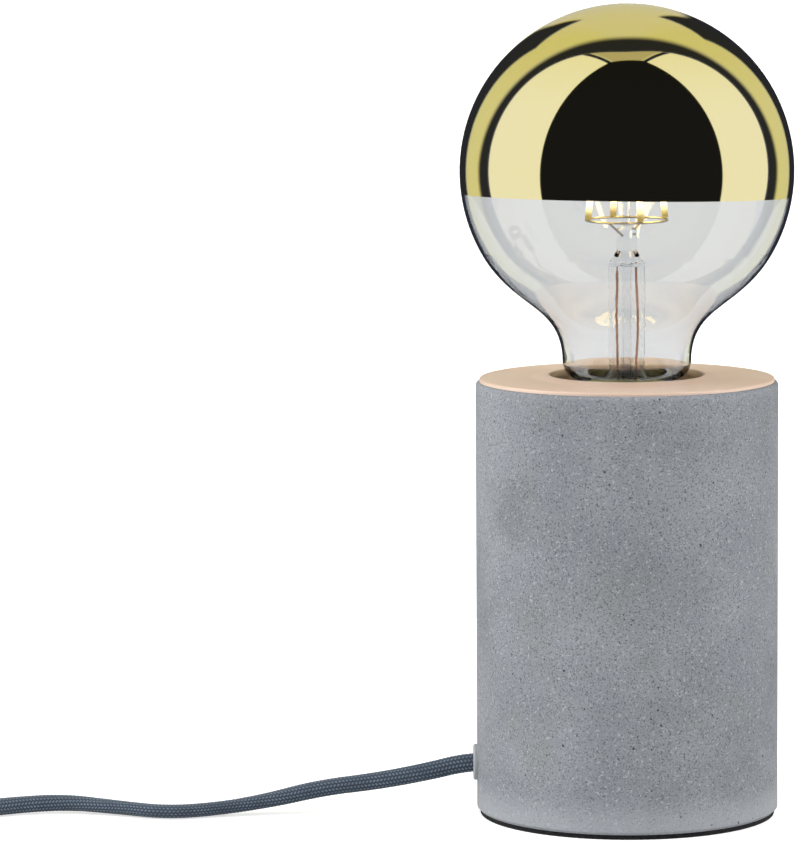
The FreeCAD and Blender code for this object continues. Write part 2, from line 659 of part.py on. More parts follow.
# --- the bulb -----------------------------------------------------------------------------------
def bulb_blank(inset, foot_z):
    """The bulb's outline, drawn in by inset: globe, throat, neck, and a foot inside the screw cap."""
    globe = GLOBE_R - inset
    below = math.radians(SHOULDER)
    half = math.radians((90 - SHOULDER) / 2)
    top = V(0, 0, GLOBE_Z + globe)
    side = V(globe * math.cos(half), 0, GLOBE_Z + globe * math.sin(half))
    shoulder = V(globe * math.cos(below), 0, GLOBE_Z - globe * math.sin(below))
    along = V(-math.sin(below), 0, -math.cos(below))
    neck = V(NECK_R - inset, 0, NECK_Z)
    foot = V(glass_foot_r - inset, 0, CAP_TOP_Z + inset)
    turn_r = NECK_R - glass_foot_r
    turn = V(foot.x + turn_r * 0.76, 0, foot.z + (NECK_Z - foot.z) * 0.37)
    return turned([
        arc(top, side, shoulder),
        bezier(shoulder, shoulder + along * SHOULDER_PULL, neck + UP * NECK_PULL, neck),
        arc(neck, turn, foot),
        line(foot, V(foot.x, 0, foot_z)),
        line(V(foot.x, 0, foot_z), V(0, 0, foot_z)),
        line(V(0, 0, foot_z), top),
    ])


def bulb_glass():
    foot_z = CAP_TOP_Z - GLASS_IN_CAP
    return bulb_blank(0, foot_z).cut(bulb_blank(GLASS_T, foot_z - 1))


def mirror_coat():
    """A thin cap on the inside of the globe, ending at a slightly tilted dip line."""
    outer = GLOBE_R - GLASS_T - COAT_GAP
    centre = V(0, 0, GLOBE_Z)
    coat = Part.makeSphere(outer, centre).cut(Part.makeSphere(outer - COAT_T, centre))
    edge = V(0, 0, GLOBE_Z - COAT_EDGE_BELOW)
    above = Part.makeCylinder(2 * GLOBE_R, 2 * GLOBE_R, edge)
    level = on_circle(1, COAT_EDGE_TOWARDS + 90)
    above.rotate(edge, level, COAT_EDGE_TILT)
    return coat.common(above)


def bulb_stem():
    """Flare tube sealed to the neck's foot, with its pinch and the glass rod above it."""
    foot_z = CAP_TOP_Z - GLASS_IN_CAP
    foot_r = glass_foot_r - GLASS_T
    bore_r = STEM_R - STEM_WALL
    wall_z = foot_z + STEM_WALL
    flare_mid = V(STEM_R + (foot_r - STEM_R) * 0.28, 0, foot_z + (FLARE_TOP_Z - foot_z) * 0.32)
    bore_mid = V(flare_mid.x - STEM_WALL, 0, flare_mid.z - STEM_WALL * 0.6)
    points = [
        V(foot_r, 0, foot_z), V(foot_r, 0, wall_z), V(STEM_R, 0, FLARE_TOP_Z), V(STEM_R, 0, STEM_TOP_Z),
        V(PINCH_R, 0, STEM_TOP_Z + 3.5), V(PINCH_R, 0, PINCH_TOP_Z - 1), V(ROD_R, 0, PINCH_TOP_Z),
        V(ROD_R, 0, ROD_TOP_Z), V(0, 0, ROD_TOP_Z), V(0, 0, STEM_TOP_Z - STEM_WALL),
        V(bore_r, 0, STEM_TOP_Z - STEM_WALL), V(bore_r, 0, FLARE_TOP_Z), V(foot_r - STEM_WALL, 0, foot_z),
    ]
    edges = [line(points[0], points[1]), arc(points[1], flare_mid, points[2])]
    edges += Part.makePolygon(points[2:12]).Edges
    edges += [arc(points[11], bore_mid, points[12]), line(points[12], points[0])]
    return turned(edges)


def exhaust_tube():
    return ring(EXHAUST_R, EXHAUST_R - EXHAUST_WALL, board_top_z + GAP, STEM_TOP_Z - STEM_WALL)


def filament_hoop():
    """Wire hoop under the filaments, on two arms from the pinch."""
    hoop = Part.makeTorus(HOOP_R, WIRE_R, V(0, 0, HOOP_Z))
    for side in (0, 180):
        start = on_circle(PINCH_R - 1, FILAMENT_TURN + 45 + side, PINCH_TOP_Z - 3)
        end = on_circle(HOOP_R, FILAMENT_TURN + 45 + side, HOOP_Z)
        hoop = hoop.fuse(rod(start, end, WIRE_R))
    return hoop.cut(disc(PINCH_R, STEM_TOP_Z, PINCH_TOP_Z))


def filament_ends(n):
    """Lower and upper end of filament n, between the hoop and its arm on the rod."""
    turn = FILAMENT_TURN + 360 * n / FILAMENTS
    low = on_circle(HOOP_R, turn, HOOP_Z + WIRE_R + 0.1)
    high = on_circle(FILAMENT_TOP_R, turn, ROD_TOP_Z - 3 * WIRE_R - 0.1)
    return low, high


def led_filaments():
    return [rod(*filament_ends(n), FILAMENT_R) for n in range(FILAMENTS)]


def filament_arms():
    """A collar on the rod with one arm over each filament."""
    arm_z = ROD_TOP_Z - 2 * WIRE_R
    collar = disc(ROD_R + 2 * WIRE_R, arm_z - 2 * WIRE_R, arm_z + WIRE_R)
    for n in range(FILAMENTS):
        high = filament_ends(n)[1]
        collar = collar.fuse(rod(V(0, 0, arm_z), V(high.x, high.y, arm_z), WIRE_R))
    return collar.cut(disc(ROD_R, arm_z - 2, ROD_TOP_Z))


def lead_wires():
    """Two bare wires from the driver board up the flare tube, one of them wandering.

    Each point is (out, aside, up), as shares of the wire's place and of its height."""
    height = STEM_TOP_Z - STEM_WALL - board_top_z
    steady = [(-1.0, 0.0, 0.0), (-0.93, 0.18, 0.32), (-1.04, 0.07, 0.68), (-0.96, 0.0, 1.0)]
    wandering = [(1.0, 0.0, 0.0), (0.9, -0.21, 0.25), (1.21, 0.25, 0.58), (0.93, 0.0, 1.0)]
    return [
        bent_bar(
            [(LEAD_WIRE_OUT * x, LEAD_WIRE_OUT * y, board_top_z + height * z) for x, y, z in way], WIRE_R
        )
        for way in (steady, wandering)
    ]


def cap_shell():
    """The screw cap: a thin sleeve with a turned-in foot."""
    inner_r = CAP_R - CAP_T
    flange_r = inner_r - CAP_FLANGE
    return lathe([
        (flange_r, cap_foot_z), (CAP_R - 0.6, cap_foot_z), (CAP_R, cap_foot_z + 0.6), (CAP_R, CAP_TOP_Z),
        (inner_r, CAP_TOP_Z), (inner_r, cap_foot_z + CAP_T), (flange_r, cap_foot_z + CAP_T),
    ])


def cap_insulator():
    """Black glass between the cap's foot and the tip contact."""
    return lathe([
        (0, insulator_z), (CAP_TIP_R + 1, insulator_z), (CAP_R - 0.8, cap_foot_z - 0.8),
        (CAP_R - 0.8, cap_foot_z), (0, cap_foot_z),
    ])


def cap_tip():
    return lathe([
        (0, bulb_tip_z), (CAP_TIP_R - 2.2, bulb_tip_z), (CAP_TIP_R, bulb_tip_z + 1.2),
        (CAP_TIP_R, insulator_z), (0, insulator_z),
    ])


def driver_board():
    """Small circuit board that stands on the cap's insulator, with its rectifier and capacitor."""
    board = block(BOARD, (0, 0), cap_foot_z)
    face_y = BOARD[1] / 2
    chip = block(BOARD_CHIP, (-BOARD[0] / 4, face_y + BOARD_CHIP[1] / 2), cap_foot_z + BOARD[2] / 3)
    can_y = face_y + CAPACITOR_R - CAPACITOR_SEAT
    can_z = cap_foot_z + 1
    capacitor = disc(CAPACITOR_R, can_z, can_z + CAPACITOR_H, BOARD[0] / 4, can_y)
    return board.fuse(chip).fuse(capacitor).removeSplitter()


# --- the switch ---------------------------------------------------------------------------------
def switch_slab(inset, z0, z1):
    return rounded_slab(
        SWITCH[0] - 2 * inset, SWITCH[1] - 2 * inset, SWITCH_CORNER_R - inset, z0, z1, SWITCH_X, SWITCH_Y
    )


def switch_outside(z0, z1, face_z):
    """A half of the housing's outside, its edge rounded at face_z."""
    slab = switch_slab(0, z0, z1)
    rim = [e for e in slab.Edges if abs(e.CenterOfMass.z - face_z) < 0.01]
    return slab.makeFillet(SWITCH_EDGE, rim)


def switch_entries():
    """The cord's two holes, half in each part of the housing."""
    middle = V(SWITCH_X, SWITCH_Y, SWITCH_SPLIT_Z)
    reach = V(SWITCH[0] / 2 + 1, 0, 0)
    return rod(middle - reach, middle + reach, CORD_R + GAP)


def switch_screw_places():
    """At two opposite corners, beside the cord."""
    dx, dy = SWITCH_SCREW
    return [(SWITCH_X + dx, SWITCH_Y + dy), (SWITCH_X - dx, SWITCH_Y - dy)]


def switch_base():
    base = switch_outside(0, SWITCH_SPLIT_Z, 0)
    base = base.cut(switch_slab(SWITCH_WALL, SWITCH_WALL, SWITCH_SPLIT_Z + 1)).cut(switch_entries())
    for x, y in switch_screw_places():
        base = base.fuse(disc(SWITCH_POST_R, SWITCH_WALL / 2, SWITCH_SPLIT_Z, x, y))
        base = base.cut(disc(SWITCH_SCREW_R + GAP, -1, SWITCH_SPLIT_Z + 1, x, y))
        base = base.cut(disc(SWITCH_SCREW_HEAD_R + GAP, -1, SWITCH_SCREW_HEAD_T + GAP, x, y))
    return base.removeSplitter()


def switch_cover():
    """Upper half: the rocker's window, and two ears inside that hold its pins."""
    cover = switch_outside(SWITCH_SPLIT_Z, SWITCH[2], SWITCH[2])
    inside_z = SWITCH[2] - SWITCH_WALL
    cover = cover.cut(switch_slab(SWITCH_WALL, SWITCH_SPLIT_Z - 1, inside_z)).cut(switch_entries())
    window = (2 * ROCKER_R + 2 * GAP, ROCKER_W + 2 * GAP, SWITCH[2])
    cover = cover.cut(block(window, (SWITCH_X, SWITCH_Y), inside_z - 0.5))
    for side in (-1, 1):
        ear_y = SWITCH_Y + side * (ROCKER_W / 2 + GAP + ROCKER_EAR / 2)
        ear = block((3.4 * ROCKER_PIN_R, ROCKER_EAR, 5.4), (SWITCH_X, ear_y), inside_z - 5.0)
        cover = cover.fuse(ear)
    pin_reach = V(0, ROCKER_W / 2 + ROCKER_EAR + 2 * GAP, 0)
    pivot = V(SWITCH_X, SWITCH_Y, ROCKER_PIVOT_Z)
    cover = cover.cut(rod(pivot - pin_reach, pivot + pin_reach, ROCKER_PIN_R + PIVOT_GAP))
    bite_z = SWITCH_SPLIT_Z + SWITCH_SCREW_BITE + GAP
    for x, y in switch_screw_places():
        cover = cover.fuse(disc(SWITCH_POST_R, SWITCH_SPLIT_Z, inside_z + SWITCH_WALL / 2, x, y))
        cover = cover.cut(disc(SWITCH_SCREW_R + THREAD_GAP, SWITCH_SPLIT_Z - 1, bite_z, x, y))
    return cover.removeSplitter()


def switch_rocker():
    """Arc ends about the pivot, a hollow top, a flat keel below, and a pin on each side."""
    def at(degrees):
        spot = on_circle(ROCKER_R, degrees)
        return V(spot.x, 0, spot.y)
    low, top = -6, ROCKER_TOP_ANGLE
    middle = (low + top) / 2
    right_low, right_mid, right_top = at(low), at(middle), at(top)
    left_low, left_mid, left_top = at(180 - low), at(180 - middle), at(180 - top)
    keel_right, keel_left = V(ROCKER_KEEL[0], 0, ROCKER_KEEL[1]), V(-ROCKER_KEEL[0], 0, ROCKER_KEEL[1])
    outline = [
        arc(right_low, right_mid, right_top), arc(right_top, V(0, 0, ROCKER_DIP_Z), left_top),
        arc(left_top, left_mid, left_low), line(left_low, keel_left), line(keel_left, keel_right),
        line(keel_right, right_low),
    ]
    rocker = Part.Face(Part.Wire(outline)).extrude(V(0, ROCKER_W, 0)).translated(V(0, -ROCKER_W / 2, 0))
    sharp = [e for e in rocker.Edges if e.CenterOfMass.z > ROCKER_DIP_Z - 0.5]
    rocker = rocker.makeFillet(ROCKER_EDGE, sharp)
    pin_end = ROCKER_W / 2 + ROCKER_EAR
    rocker = rocker.fuse(rod(V(0, -pin_end, 0), V(0, pin_end, 0), ROCKER_PIN_R)).removeSplitter()
    rocker.rotate(V(0, 0, 0), V(0, 1, 0), -ROCKER_TILT)
    return rocker.translated(V(SWITCH_X, SWITCH_Y, ROCKER_PIVOT_Z))


def switch_contacts():
    """Two terminals, and a blade from one that rests on the other while the lamp is on."""
    block_top = BLADE_TOP_Z - BLADE_T
    height = block_top - SWITCH_WALL
    length, width = BLADE_TERMINAL
    solids = [
        block((length, width, height), (SWITCH_X + x, SWITCH_Y), SWITCH_WALL) for x in (-BLADE_X, BLADE_X)
    ]
    blade_size = (2 * BLADE_X + length, width - 1, BLADE_T)
    return solids + [block(blade_size, (SWITCH_X, SWITCH_Y), block_top)]


def switch_wires():
    """The live wire's two ends at their terminals, and the neutral wire that runs past them."""
    def at(side, along, across, z):
        return (SWITCH_X + side * along, SWITCH_Y + across, z)
    end = SWITCH[0] / 2 - CORD_IN_SWITCH
    face = BLADE_X + BLADE_TERMINAL[0] / 2
    straight = 3 * CORE_R
    live = [
        bent_bar([
            at(side, end, -SWITCH_CORE_Y, SWITCH_SPLIT_Z),
            at(side, end - 2 * CORE_R, -SWITCH_CORE_Y, SWITCH_SPLIT_Z),
            at(side, face + straight, -SWITCH_CORE_Y, SWITCH_WIRE_Z),
            at(side, face, -SWITCH_CORE_Y, SWITCH_WIRE_Z),
        ], CORE_R)
        for side in (-1, 1)
    ]
    half = [
        (end, SWITCH_CORE_Y, SWITCH_SPLIT_Z),
        (end - straight, SWITCH_CORE_Y, SWITCH_SPLIT_Z),
        (end - straight - SWITCH_BYPASS_RUN, SWITCH_BYPASS_Y, SWITCH_WIRE_Z),
    ]
    way = [at(1, *p) for p in half] + [at(-1, *p) for p in reversed(half)]
    return live + [bent_bar(way, CORE_R)]


def switch_screws():
    head_z = SWITCH_SCREW_HEAD_T + GAP
    end_z = SWITCH_SPLIT_Z + SWITCH_SCREW_BITE
    return [
        slotted_screw(x, y, head_z, end_z, SWITCH_SCREW_R, SWITCH_SCREW_HEAD_R, SWITCH_SCREW_HEAD_T)
        for x, y in switch_screw_places()
    ]


# --- the coil ---------------------------------------------------------------------------------------
def coil_place(turns):
    """Centre of the lead after so many turns: in, then out again a layer higher.

    It climbs during the half turn about the innermost point."""
    from_inside = turns - COIL_TURNS / 2
    climb = min(max(0.5 + 2 * from_inside, 0.0), 1.0)
    radius = coil_in_r + COIL_PITCH * abs(from_inside)
    height = CORD_R + COIL_RISE * climb * climb * (3 - 2 * climb)
    return V(COIL_X, COIL_Y, 0) + on_circle(radius, -90 - 360 * turns, height)


def coil_direction(turns):
    """The lead's direction there; it starts and ends square to what it meets."""
    if turns in (0, COIL_TURNS):
        outward = coil_place(turns) - V(COIL_X, COIL_Y, coil_place(turns).z)
        return outward.cross(UP).normalize()
    step = 0.01
    return (coil_place(turns + step) - coil_place(turns - step)).normalize()


def biarc(a, along_a, b, along_b):
    """Two tangent arcs from a to b that start along along_a and end along along_b."""
    span = b - a
    both = along_a + along_b
    spread = 2 * (1 - along_a.dot(along_b))
    reach = (-span.dot(both) + math.sqrt(span.dot(both) ** 2 + spread * span.dot(span))) / spread
    joint = (a + b + (along_a - along_b) * reach) * 0.5
    return [tangent_arc(a, along_a, joint, 1), tangent_arc(b, along_b, joint, -1)]


def tangent_arc(end, along, other, sense):
    """The arc between end and other that has the direction along at end."""
    chord = other - end
    unit = V(chord).normalize()
    heading = along * sense
    side = (heading - unit * heading.dot(unit)).normalize()
    middle = end + chord * 0.5 + side * (chord.Length / 2 * math.tan(heading.getAngle(chord) / 2))
    return arc(end, middle, other) if sense > 0 else arc(other, middle, end)


def cord_coil():
    """The lead that isn't laid out, wound for storage in two layers."""
    stops = [n / 4 for n in range(int(COIL_TURNS * 4) + 1)]
    straight = V(2 * CORD_R, 0, 0)
    edges = [line(coil_place(0) + straight, coil_place(0))]
    for start, end in zip(stops, stops[1:]):
        edges += biarc(coil_place(start), coil_direction(start), coil_place(end), coil_direction(end))
    edges.append(line(coil_place(COIL_TURNS), coil_place(COIL_TURNS) + straight))
    coil = sweep(edges, CORD_R)
    print_tube("cord_coil", coil, edges, CORD_R, coil_in_r)
    print(f"cord_coil: least gap to itself {coil_gap():.2f} mm")
    return coil


def coil_gap():
    """The least gap between one turn and any other, measured between points along the lead."""
    per_turn = 36
    points = [coil_place(n / per_turn) for n in range(int(COIL_TURNS * per_turn) + 1)]
    least = min(
        points[i].distanceToPoint(points[j])
        for i in range(len(points)) for j in range(i + per_turn // 2, len(points))
    )
    return least - 2 * CORD_R


# --- the plug -----------------------------------------------------------------------------------
def plug_section(x, width, height):
    """A rounded rectangle across the plug at x."""
    r = min(PLUG_CORNER_R, 0.45 * height)
    slab = Part.makeBox(1, width, height, V(x, PLUG_Y - width / 2, plug_z - height / 2))
    slab = slab.makeFillet(r, [e for e in slab.Edges if abs(e.tangentAt(0).x) > 0.9])
    face = min(slab.Faces, key=lambda f: f.CenterOfMass.x)
    return face.OuterWire


def lain_askew(piece):
    """A piece of the plug, turned about the end of its sleeve."""
    piece.rotate(V(plug_cord_x, PLUG_Y, plug_z), V(0, 0, 1), PLUG_TURN)
    return piece


def plug_body():
    """Flat two-pin plug: a narrow grip that widens to its shoulders, and a ribbed sleeve for the cord."""
    length, width, height = PLUG_BODY
    shoulder_x = PLUG_X + PLUG_SHOULDER
    waist = (PLUG_REAR[0] + width) / 2 - PLUG_WAIST
    grip = Part.makeLoft([
        plug_section(PLUG_X, *PLUG_REAR),
        plug_section((PLUG_X + shoulder_x) / 2, waist, (PLUG_REAR[1] + height) / 2),
        plug_section(shoulder_x, width, height),
    ], True, False)
    shoulders = Part.Face(plug_section(shoulder_x, width, height)).extrude(V(length - PLUG_SHOULDER, 0, 0))
    front = [e for e in shoulders.Edges if abs(e.CenterOfMass.x - plug_face_x) < 0.01]
    shoulders = shoulders.makeFillet(PLUG_EDGE, front)
    forward = V(1, 0, 0)
    cord_end = V(plug_cord_x, PLUG_Y, plug_z)
    sleeve = Part.makeCone(PLUG_SLEEVE_TIP_R, PLUG_SLEEVE_R, PLUG_SLEEVE_LENGTH + 0.5, cord_end, forward)
    body = grip.fuse(shoulders).fuse(sleeve)
    taper = (PLUG_SLEEVE_R - PLUG_SLEEVE_TIP_R) / PLUG_SLEEVE_LENGTH
    for n in range(SLEEVE_GROOVES):
        along = SLEEVE_GROOVE_STEP * (n + 0.85)
        place = cord_end + forward * along
        core_r = PLUG_SLEEVE_TIP_R + taper * along - SLEEVE_GROOVE_DEPTH
        groove = Part.makeCylinder(2 * PLUG_SLEEVE_R, SLEEVE_GROOVE_W, place, forward)
        body = body.cut(groove.cut(Part.makeCylinder(core_r, SLEEVE_GROOVE_W, place, forward)))
    for place in pin_places():
        body = body.cut(rod(place - V(PIN_IN_BODY, 0, 0), place + V(1, 0, 0), PIN_ROOT_R))
    return lain_askew(body.removeSplitter())


def pin_places():
    """Where the two pins leave the plug's face."""
    return [V(plug_face_x, PLUG_Y + side * PIN_SPACING / 2, plug_z) for side in (-1, 1)]


def plug_pins():
    """Round pins that sit on the face, each with a thinner root moulded into the body."""
    pins = []
    for place in pin_places():
        pin = rod(place, place + V(PIN_LENGTH, 0, 0), PIN_R)
        tip = [e for e in pin.Edges if e.Closed and e.CenterOfMass.x > plug_face_x + 1]
        root = rod(place - V(PIN_IN_BODY, 0, 0), place, PIN_ROOT_R)
        pins.append(lain_askew(pin.makeFillet(PIN_ROUND, tip).fuse(root)))
    return pins


os.makedirs("parts", exist_ok=True)

export("concrete_body", concrete_body())
export("copper_lid", copper_lid())
export("foam_pad", foam_pad())
export("bottom_plate", bottom_plate())
export("plate_screws", *plate_screws())
export("plate_bushes", *plate_bushes())

export("cord_grommet", cord_grommet())
export("clamp_base", clamp_base())
export("clamp_bar", clamp_bar())
export("clamp_screws", *clamp_screws())
export("inner_cord", inner_cord())
export("live_wire", core_wire(1))
export("neutral_wire", core_wire(-1))

export("threaded_tube", threaded_tube())
export("tube_nuts", *tube_nuts())
export("tube_washers", *tube_washers())

export("holder_dome", holder_dome())
export("holder_skirt", holder_skirt())
export("holder_ceramic", holder_ceramic())
export("contact_shell", contact_shell())
export("centre_contact", centre_contact())
export("terminal_blocks", *terminal_blocks())
export("terminal_screws", *terminal_screws())

export("bulb_glass", bulb_glass())
export("mirror_coat", mirror_coat())
export("bulb_stem", bulb_stem())
export("exhaust_tube", exhaust_tube())
export("filament_hoop", filament_hoop())
export("led_filaments", *led_filaments())
export("filament_arms", filament_arms())
export("lead_wires", *lead_wires())
export("cap_shell", cap_shell())
export("cap_insulator", cap_insulator())
export("cap_tip", cap_tip())
export("driver_board", driver_board())

export("cord_to_switch", bent_bar(TO_SWITCH, CORD_R, "cord_to_switch"))
export("switch_base", switch_base())
export("switch_cover", switch_cover())
export("switch_rocker", switch_rocker())
export("switch_contacts", *switch_contacts())
export("switch_wires", *switch_wires())
export("switch_screws", *switch_screws())
export("cord_to_coil", bent_bar(TO_COIL, CORD_R, "cord_to_coil"))
export("cord_coil", cord_coil())
export("cord_to_plug", bent_bar(TO_PLUG, CORD_R, "cord_to_plug"))
export("plug_body", plug_body())
export("plug_pins", *plug_pins())
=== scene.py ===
import math
import bpy
from mathutils import Matrix, Vector


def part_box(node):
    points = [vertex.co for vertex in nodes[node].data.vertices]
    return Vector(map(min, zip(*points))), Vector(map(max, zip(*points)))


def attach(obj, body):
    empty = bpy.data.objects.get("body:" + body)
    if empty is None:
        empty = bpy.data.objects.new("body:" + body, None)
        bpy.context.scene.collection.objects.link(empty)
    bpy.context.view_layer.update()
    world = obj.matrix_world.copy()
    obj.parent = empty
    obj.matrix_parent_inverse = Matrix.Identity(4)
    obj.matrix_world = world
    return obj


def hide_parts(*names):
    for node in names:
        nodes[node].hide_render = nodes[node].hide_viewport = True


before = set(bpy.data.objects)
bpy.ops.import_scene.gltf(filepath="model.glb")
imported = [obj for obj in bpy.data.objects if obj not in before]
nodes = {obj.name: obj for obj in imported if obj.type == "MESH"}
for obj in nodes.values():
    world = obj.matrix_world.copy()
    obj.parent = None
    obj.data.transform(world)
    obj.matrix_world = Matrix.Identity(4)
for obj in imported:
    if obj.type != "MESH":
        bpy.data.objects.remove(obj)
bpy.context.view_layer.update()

bpy.ops.object.select_all(action="DESELECT")


# --- the camera ---------------------------------------------------------------------------------
# A long lens at about table height, a little above the bulb and looking slightly down.
# Its place and lens were fitted to the globe, the body's sides and the foot.
CAMERA_AT = (-0.06108, -1.43888, 0.28121)
CAMERA_DOWN = 6.642
CAMERA_TURN = 0.146
CAMERA_ROLL = -0.337
CAMERA_LENS = 217.21
CAMERA_SENSOR = 36.0
CAMERA_NEAR, CAMERA_FAR = 0.05, 50.0

camera_data = bpy.data.cameras.new("camera")
camera_data.lens = CAMERA_LENS
camera_data.sensor_width = CAMERA_SENSOR
camera_data.clip_start = CAMERA_NEAR
camera_data.clip_end = CAMERA_FAR
camera = bpy.data.objects.new("camera", camera_data)
camera.matrix_world = (
    Matrix.Translation(CAMERA_AT)
    @ Matrix.Rotation(math.radians(CAMERA_TURN), 4, "Z")
    @ Matrix.Rotation(math.radians(90 - CAMERA_DOWN), 4, "X")
    @ Matrix.Rotation(math.radians(CAMERA_ROLL), 4, "Z")
)
bpy.context.scene.collection.objects.link(camera)
bpy.context.scene.camera = camera


# --- the textile lead ---------------------------------------------------------------------------
# A flat twin lead in a grey braid, 5.6 by 3.95 mm. It droops out of the lamp, lies on the table
# and rolls as it goes, so that it shows now its flat side and now its edge.
LEAD_WIDTH = 0.0056
LEAD_THICKNESS = 0.00395
# Dark and pale yarn; the braid also uses the dark as painted shade in the stitches' gaps and the pale as
# painted light on their crowns.
LEAD_DARK_AND_GAP_SHADE = (0.046, 0.061, 0.088)
LEAD_PALE_AND_CROWN_LIGHT = (0.32, 0.42, 0.53)
LEAD_SHEEN = (0.55, 0.65, 0.8, 1.0)
LEAD_STEP = 0.000175
LEAD_FACETS = 56
LEAD_CURVE_STEPS = 16
STITCH_LENGTH = 0.00105
STITCH_ROWS = 14
STITCH_HEIGHT = 0.00013
STITCH_SLANT = 0.55
STITCH_RELIEF = 0.00016
FIBRES_ALONG, FIBRES_AROUND = 9000.0, 90.0
BLOTCH_SCALE = 260.0
LAMP_TO_SWITCH = [
    (-0.04015, 0.0, 0.0147), (-0.046, 0.0, 0.0147), (-0.0575, 0.0, 0.0119), (-0.072, 0.0006, 0.0091),
    (-0.088, 0.0002, 0.0073), (-0.103, -0.0008, 0.0039), (-0.117, -0.0034, 0.0021),
    (-0.132, -0.0084, 0.0020), (-0.147, -0.0015, 0.0023), (-0.162, 0.0032, 0.0030),
    (-0.177, 0.0002, 0.0027), (-0.190, -0.008, 0.0027), (-0.201, -0.0155, 0.0046),
    (-0.2115, -0.019, 0.0082), (-0.2225, -0.019, 0.0082),
]
# How far the lead has rolled over on its way, as (x, degrees).
LEAD_ROLL = [
    (-0.040, 59), (-0.090, 38), (-0.118, 0), (-0.139, 0), (-0.170, 36), (-0.181, 41), (-0.212, 0),
]


def add_node(tree, kind, inputs=(), **settings):
    """One shader node; a socket given as an input is linked, and a plain value is set."""
    made = tree.nodes.new(kind)
    for name, setting in settings.items():
        setattr(made, name, setting)
    for name, given in dict(inputs).items():
        if isinstance(given, bpy.types.NodeSocket):
            tree.links.new(given, made.inputs[name])
        else:
            made.inputs[name].default_value = given
    return made


def work_out(tree, operation, *given):
    """The output of a Math node."""
    return add_node(tree, "ShaderNodeMath", dict(enumerate(given)), operation=operation).outputs[0]


def fade(tree, given, start, end, low=0.0, high=1.0):
    """A smooth step from low to high as the input goes from start to end."""
    return add_node(tree, "ShaderNodeMapRange", {
        "Value": given, "From Min": start, "From Max": end, "To Min": low, "To Max": high,
    }, interpolation_type="SMOOTHSTEP").outputs[0]


def unevenness(tree, spot, scale, detail=2.0, roughness=0.5):
    """Noise from 0 to 1 over the surface."""
    return add_node(tree, "ShaderNodeTexNoise", {
        "Vector": spot, "Scale": scale, "Detail": detail, "Roughness": roughness,
    }).outputs[0]


def blend_colours(tree, share, first, second):
    """A colour between two, by a share from 0 to 1."""
    mixed = add_node(tree, "ShaderNodeMix", {"Factor": share}, data_type="RGBA")
    for name, colour in (("A", first), ("B", second)):
        socket = next(s for s in mixed.inputs if s.name == name and s.type == "RGBA")
        if isinstance(colour, bpy.types.NodeSocket):
            tree.links.new(colour, socket)
        else:
            socket.default_value = (*colour, 1.0)
    return next(s for s in mixed.outputs if s.type == "RGBA")


def new_finish(name, roughness, metallic=0.0):
    """A finish with its node tree, its shader and the outputs of its texture coordinates."""
    finish = bpy.data.materials.new(name)
    finish.use_nodes = True
    tree = finish.node_tree
    shader = tree.nodes["Principled BSDF"]
    shader.inputs["Roughness"].default_value = roughness
    shader.inputs["Metallic"].default_value = metallic
    return finish, tree, shader, tree.nodes.new("ShaderNodeTexCoord").outputs


def give_height(tree, shader, height, distance, strength=1.0):
    """Puts a bump of that depth, in metres, on the shader."""
    bump = add_node(tree, "ShaderNodeBump", {
        "Height": height, "Distance": distance, "Strength": strength,
    })
    tree.links.new(bump.outputs["Normal"], shader.inputs["Normal"])


def stitch_height(along, around):
    """Height of the braid's slanting stitches, 0 to 1; rows alternate in slant and start."""
    row = math.floor(around * STITCH_ROWS)
    across = around * STITCH_ROWS - row - 0.5
    slant = STITCH_SLANT if row % 2 else -STITCH_SLANT
    step = along / STITCH_LENGTH + 0.5 * (row % 2) + slant * across
    return abs(math.cos(math.pi * across)) * abs(math.sin(math.pi * step))


def braid():
    """The stitches again as colour and fine relief, from the lead's own UV map in metres and turns; the
    colour has painted shade in the gaps and painted light on the stitches' crowns.
    """
    finish, tree, shader, place = new_finish("textile_braid", 0.62)
    uv = add_node(tree, "ShaderNodeSeparateXYZ", {"Vector": place["UV"]})
    rows = work_out(tree, "MULTIPLY", uv.outputs["Y"], STITCH_ROWS)
    odd = work_out(tree, "MODULO", work_out(tree, "FLOOR", rows), 2.0)
    across = work_out(tree, "SUBTRACT", work_out(tree, "FRACT", rows), 0.5)
    slant = work_out(tree, "MULTIPLY_ADD", odd, 2 * STITCH_SLANT, -STITCH_SLANT)
    steps = work_out(tree, "DIVIDE", uv.outputs["X"], STITCH_LENGTH)
    steps = work_out(tree, "MULTIPLY_ADD", odd, 0.5, steps)
    steps = work_out(tree, "MULTIPLY_ADD", across, slant, steps)
    crown = work_out(tree, "SINE", work_out(tree, "MULTIPLY", steps, math.pi))
    side = work_out(tree, "COSINE", work_out(tree, "MULTIPLY", across, math.pi))
    height = work_out(tree, "ABSOLUTE", work_out(tree, "MULTIPLY", crown, side))
    stretched = add_node(tree, "ShaderNodeMapping", {
        "Vector": place["UV"], "Scale": (FIBRES_ALONG, FIBRES_AROUND, 1.0),
    })
    fibres = unevenness(tree, stretched.outputs[0], 1.0)
    blotches = unevenness(tree, place["Object"], BLOTCH_SCALE)
    # Painted light and shade: the stitches' crowns are pale and the gaps between them dark, with the
    # fibres' and blotches' own tone over that.
    lit = work_out(tree, "MULTIPLY", fade(tree, height, 0.25, 0.95), fade(tree, fibres, 0.25, 0.7))
    lit = work_out(tree, "MULTIPLY", lit, fade(tree, blotches, 0.2, 0.75, 0.55, 1.0))
    tone = blend_colours(tree, lit, LEAD_DARK_AND_GAP_SHADE, LEAD_PALE_AND_CROWN_LIGHT)
    tree.links.new(tone, shader.inputs["Base Color"])
    give_height(tree, shader, work_out(tree, "MULTIPLY_ADD", fibres, 0.2, height), STITCH_RELIEF, 0.8)
    shader.inputs["Sheen Weight"].default_value = 0.35
    shader.inputs["Sheen Roughness"].default_value = 0.45
    shader.inputs["Sheen Tint"].default_value = LEAD_SHEEN
    shader.inputs["Specular IOR Level"].default_value = 0.3
    return finish


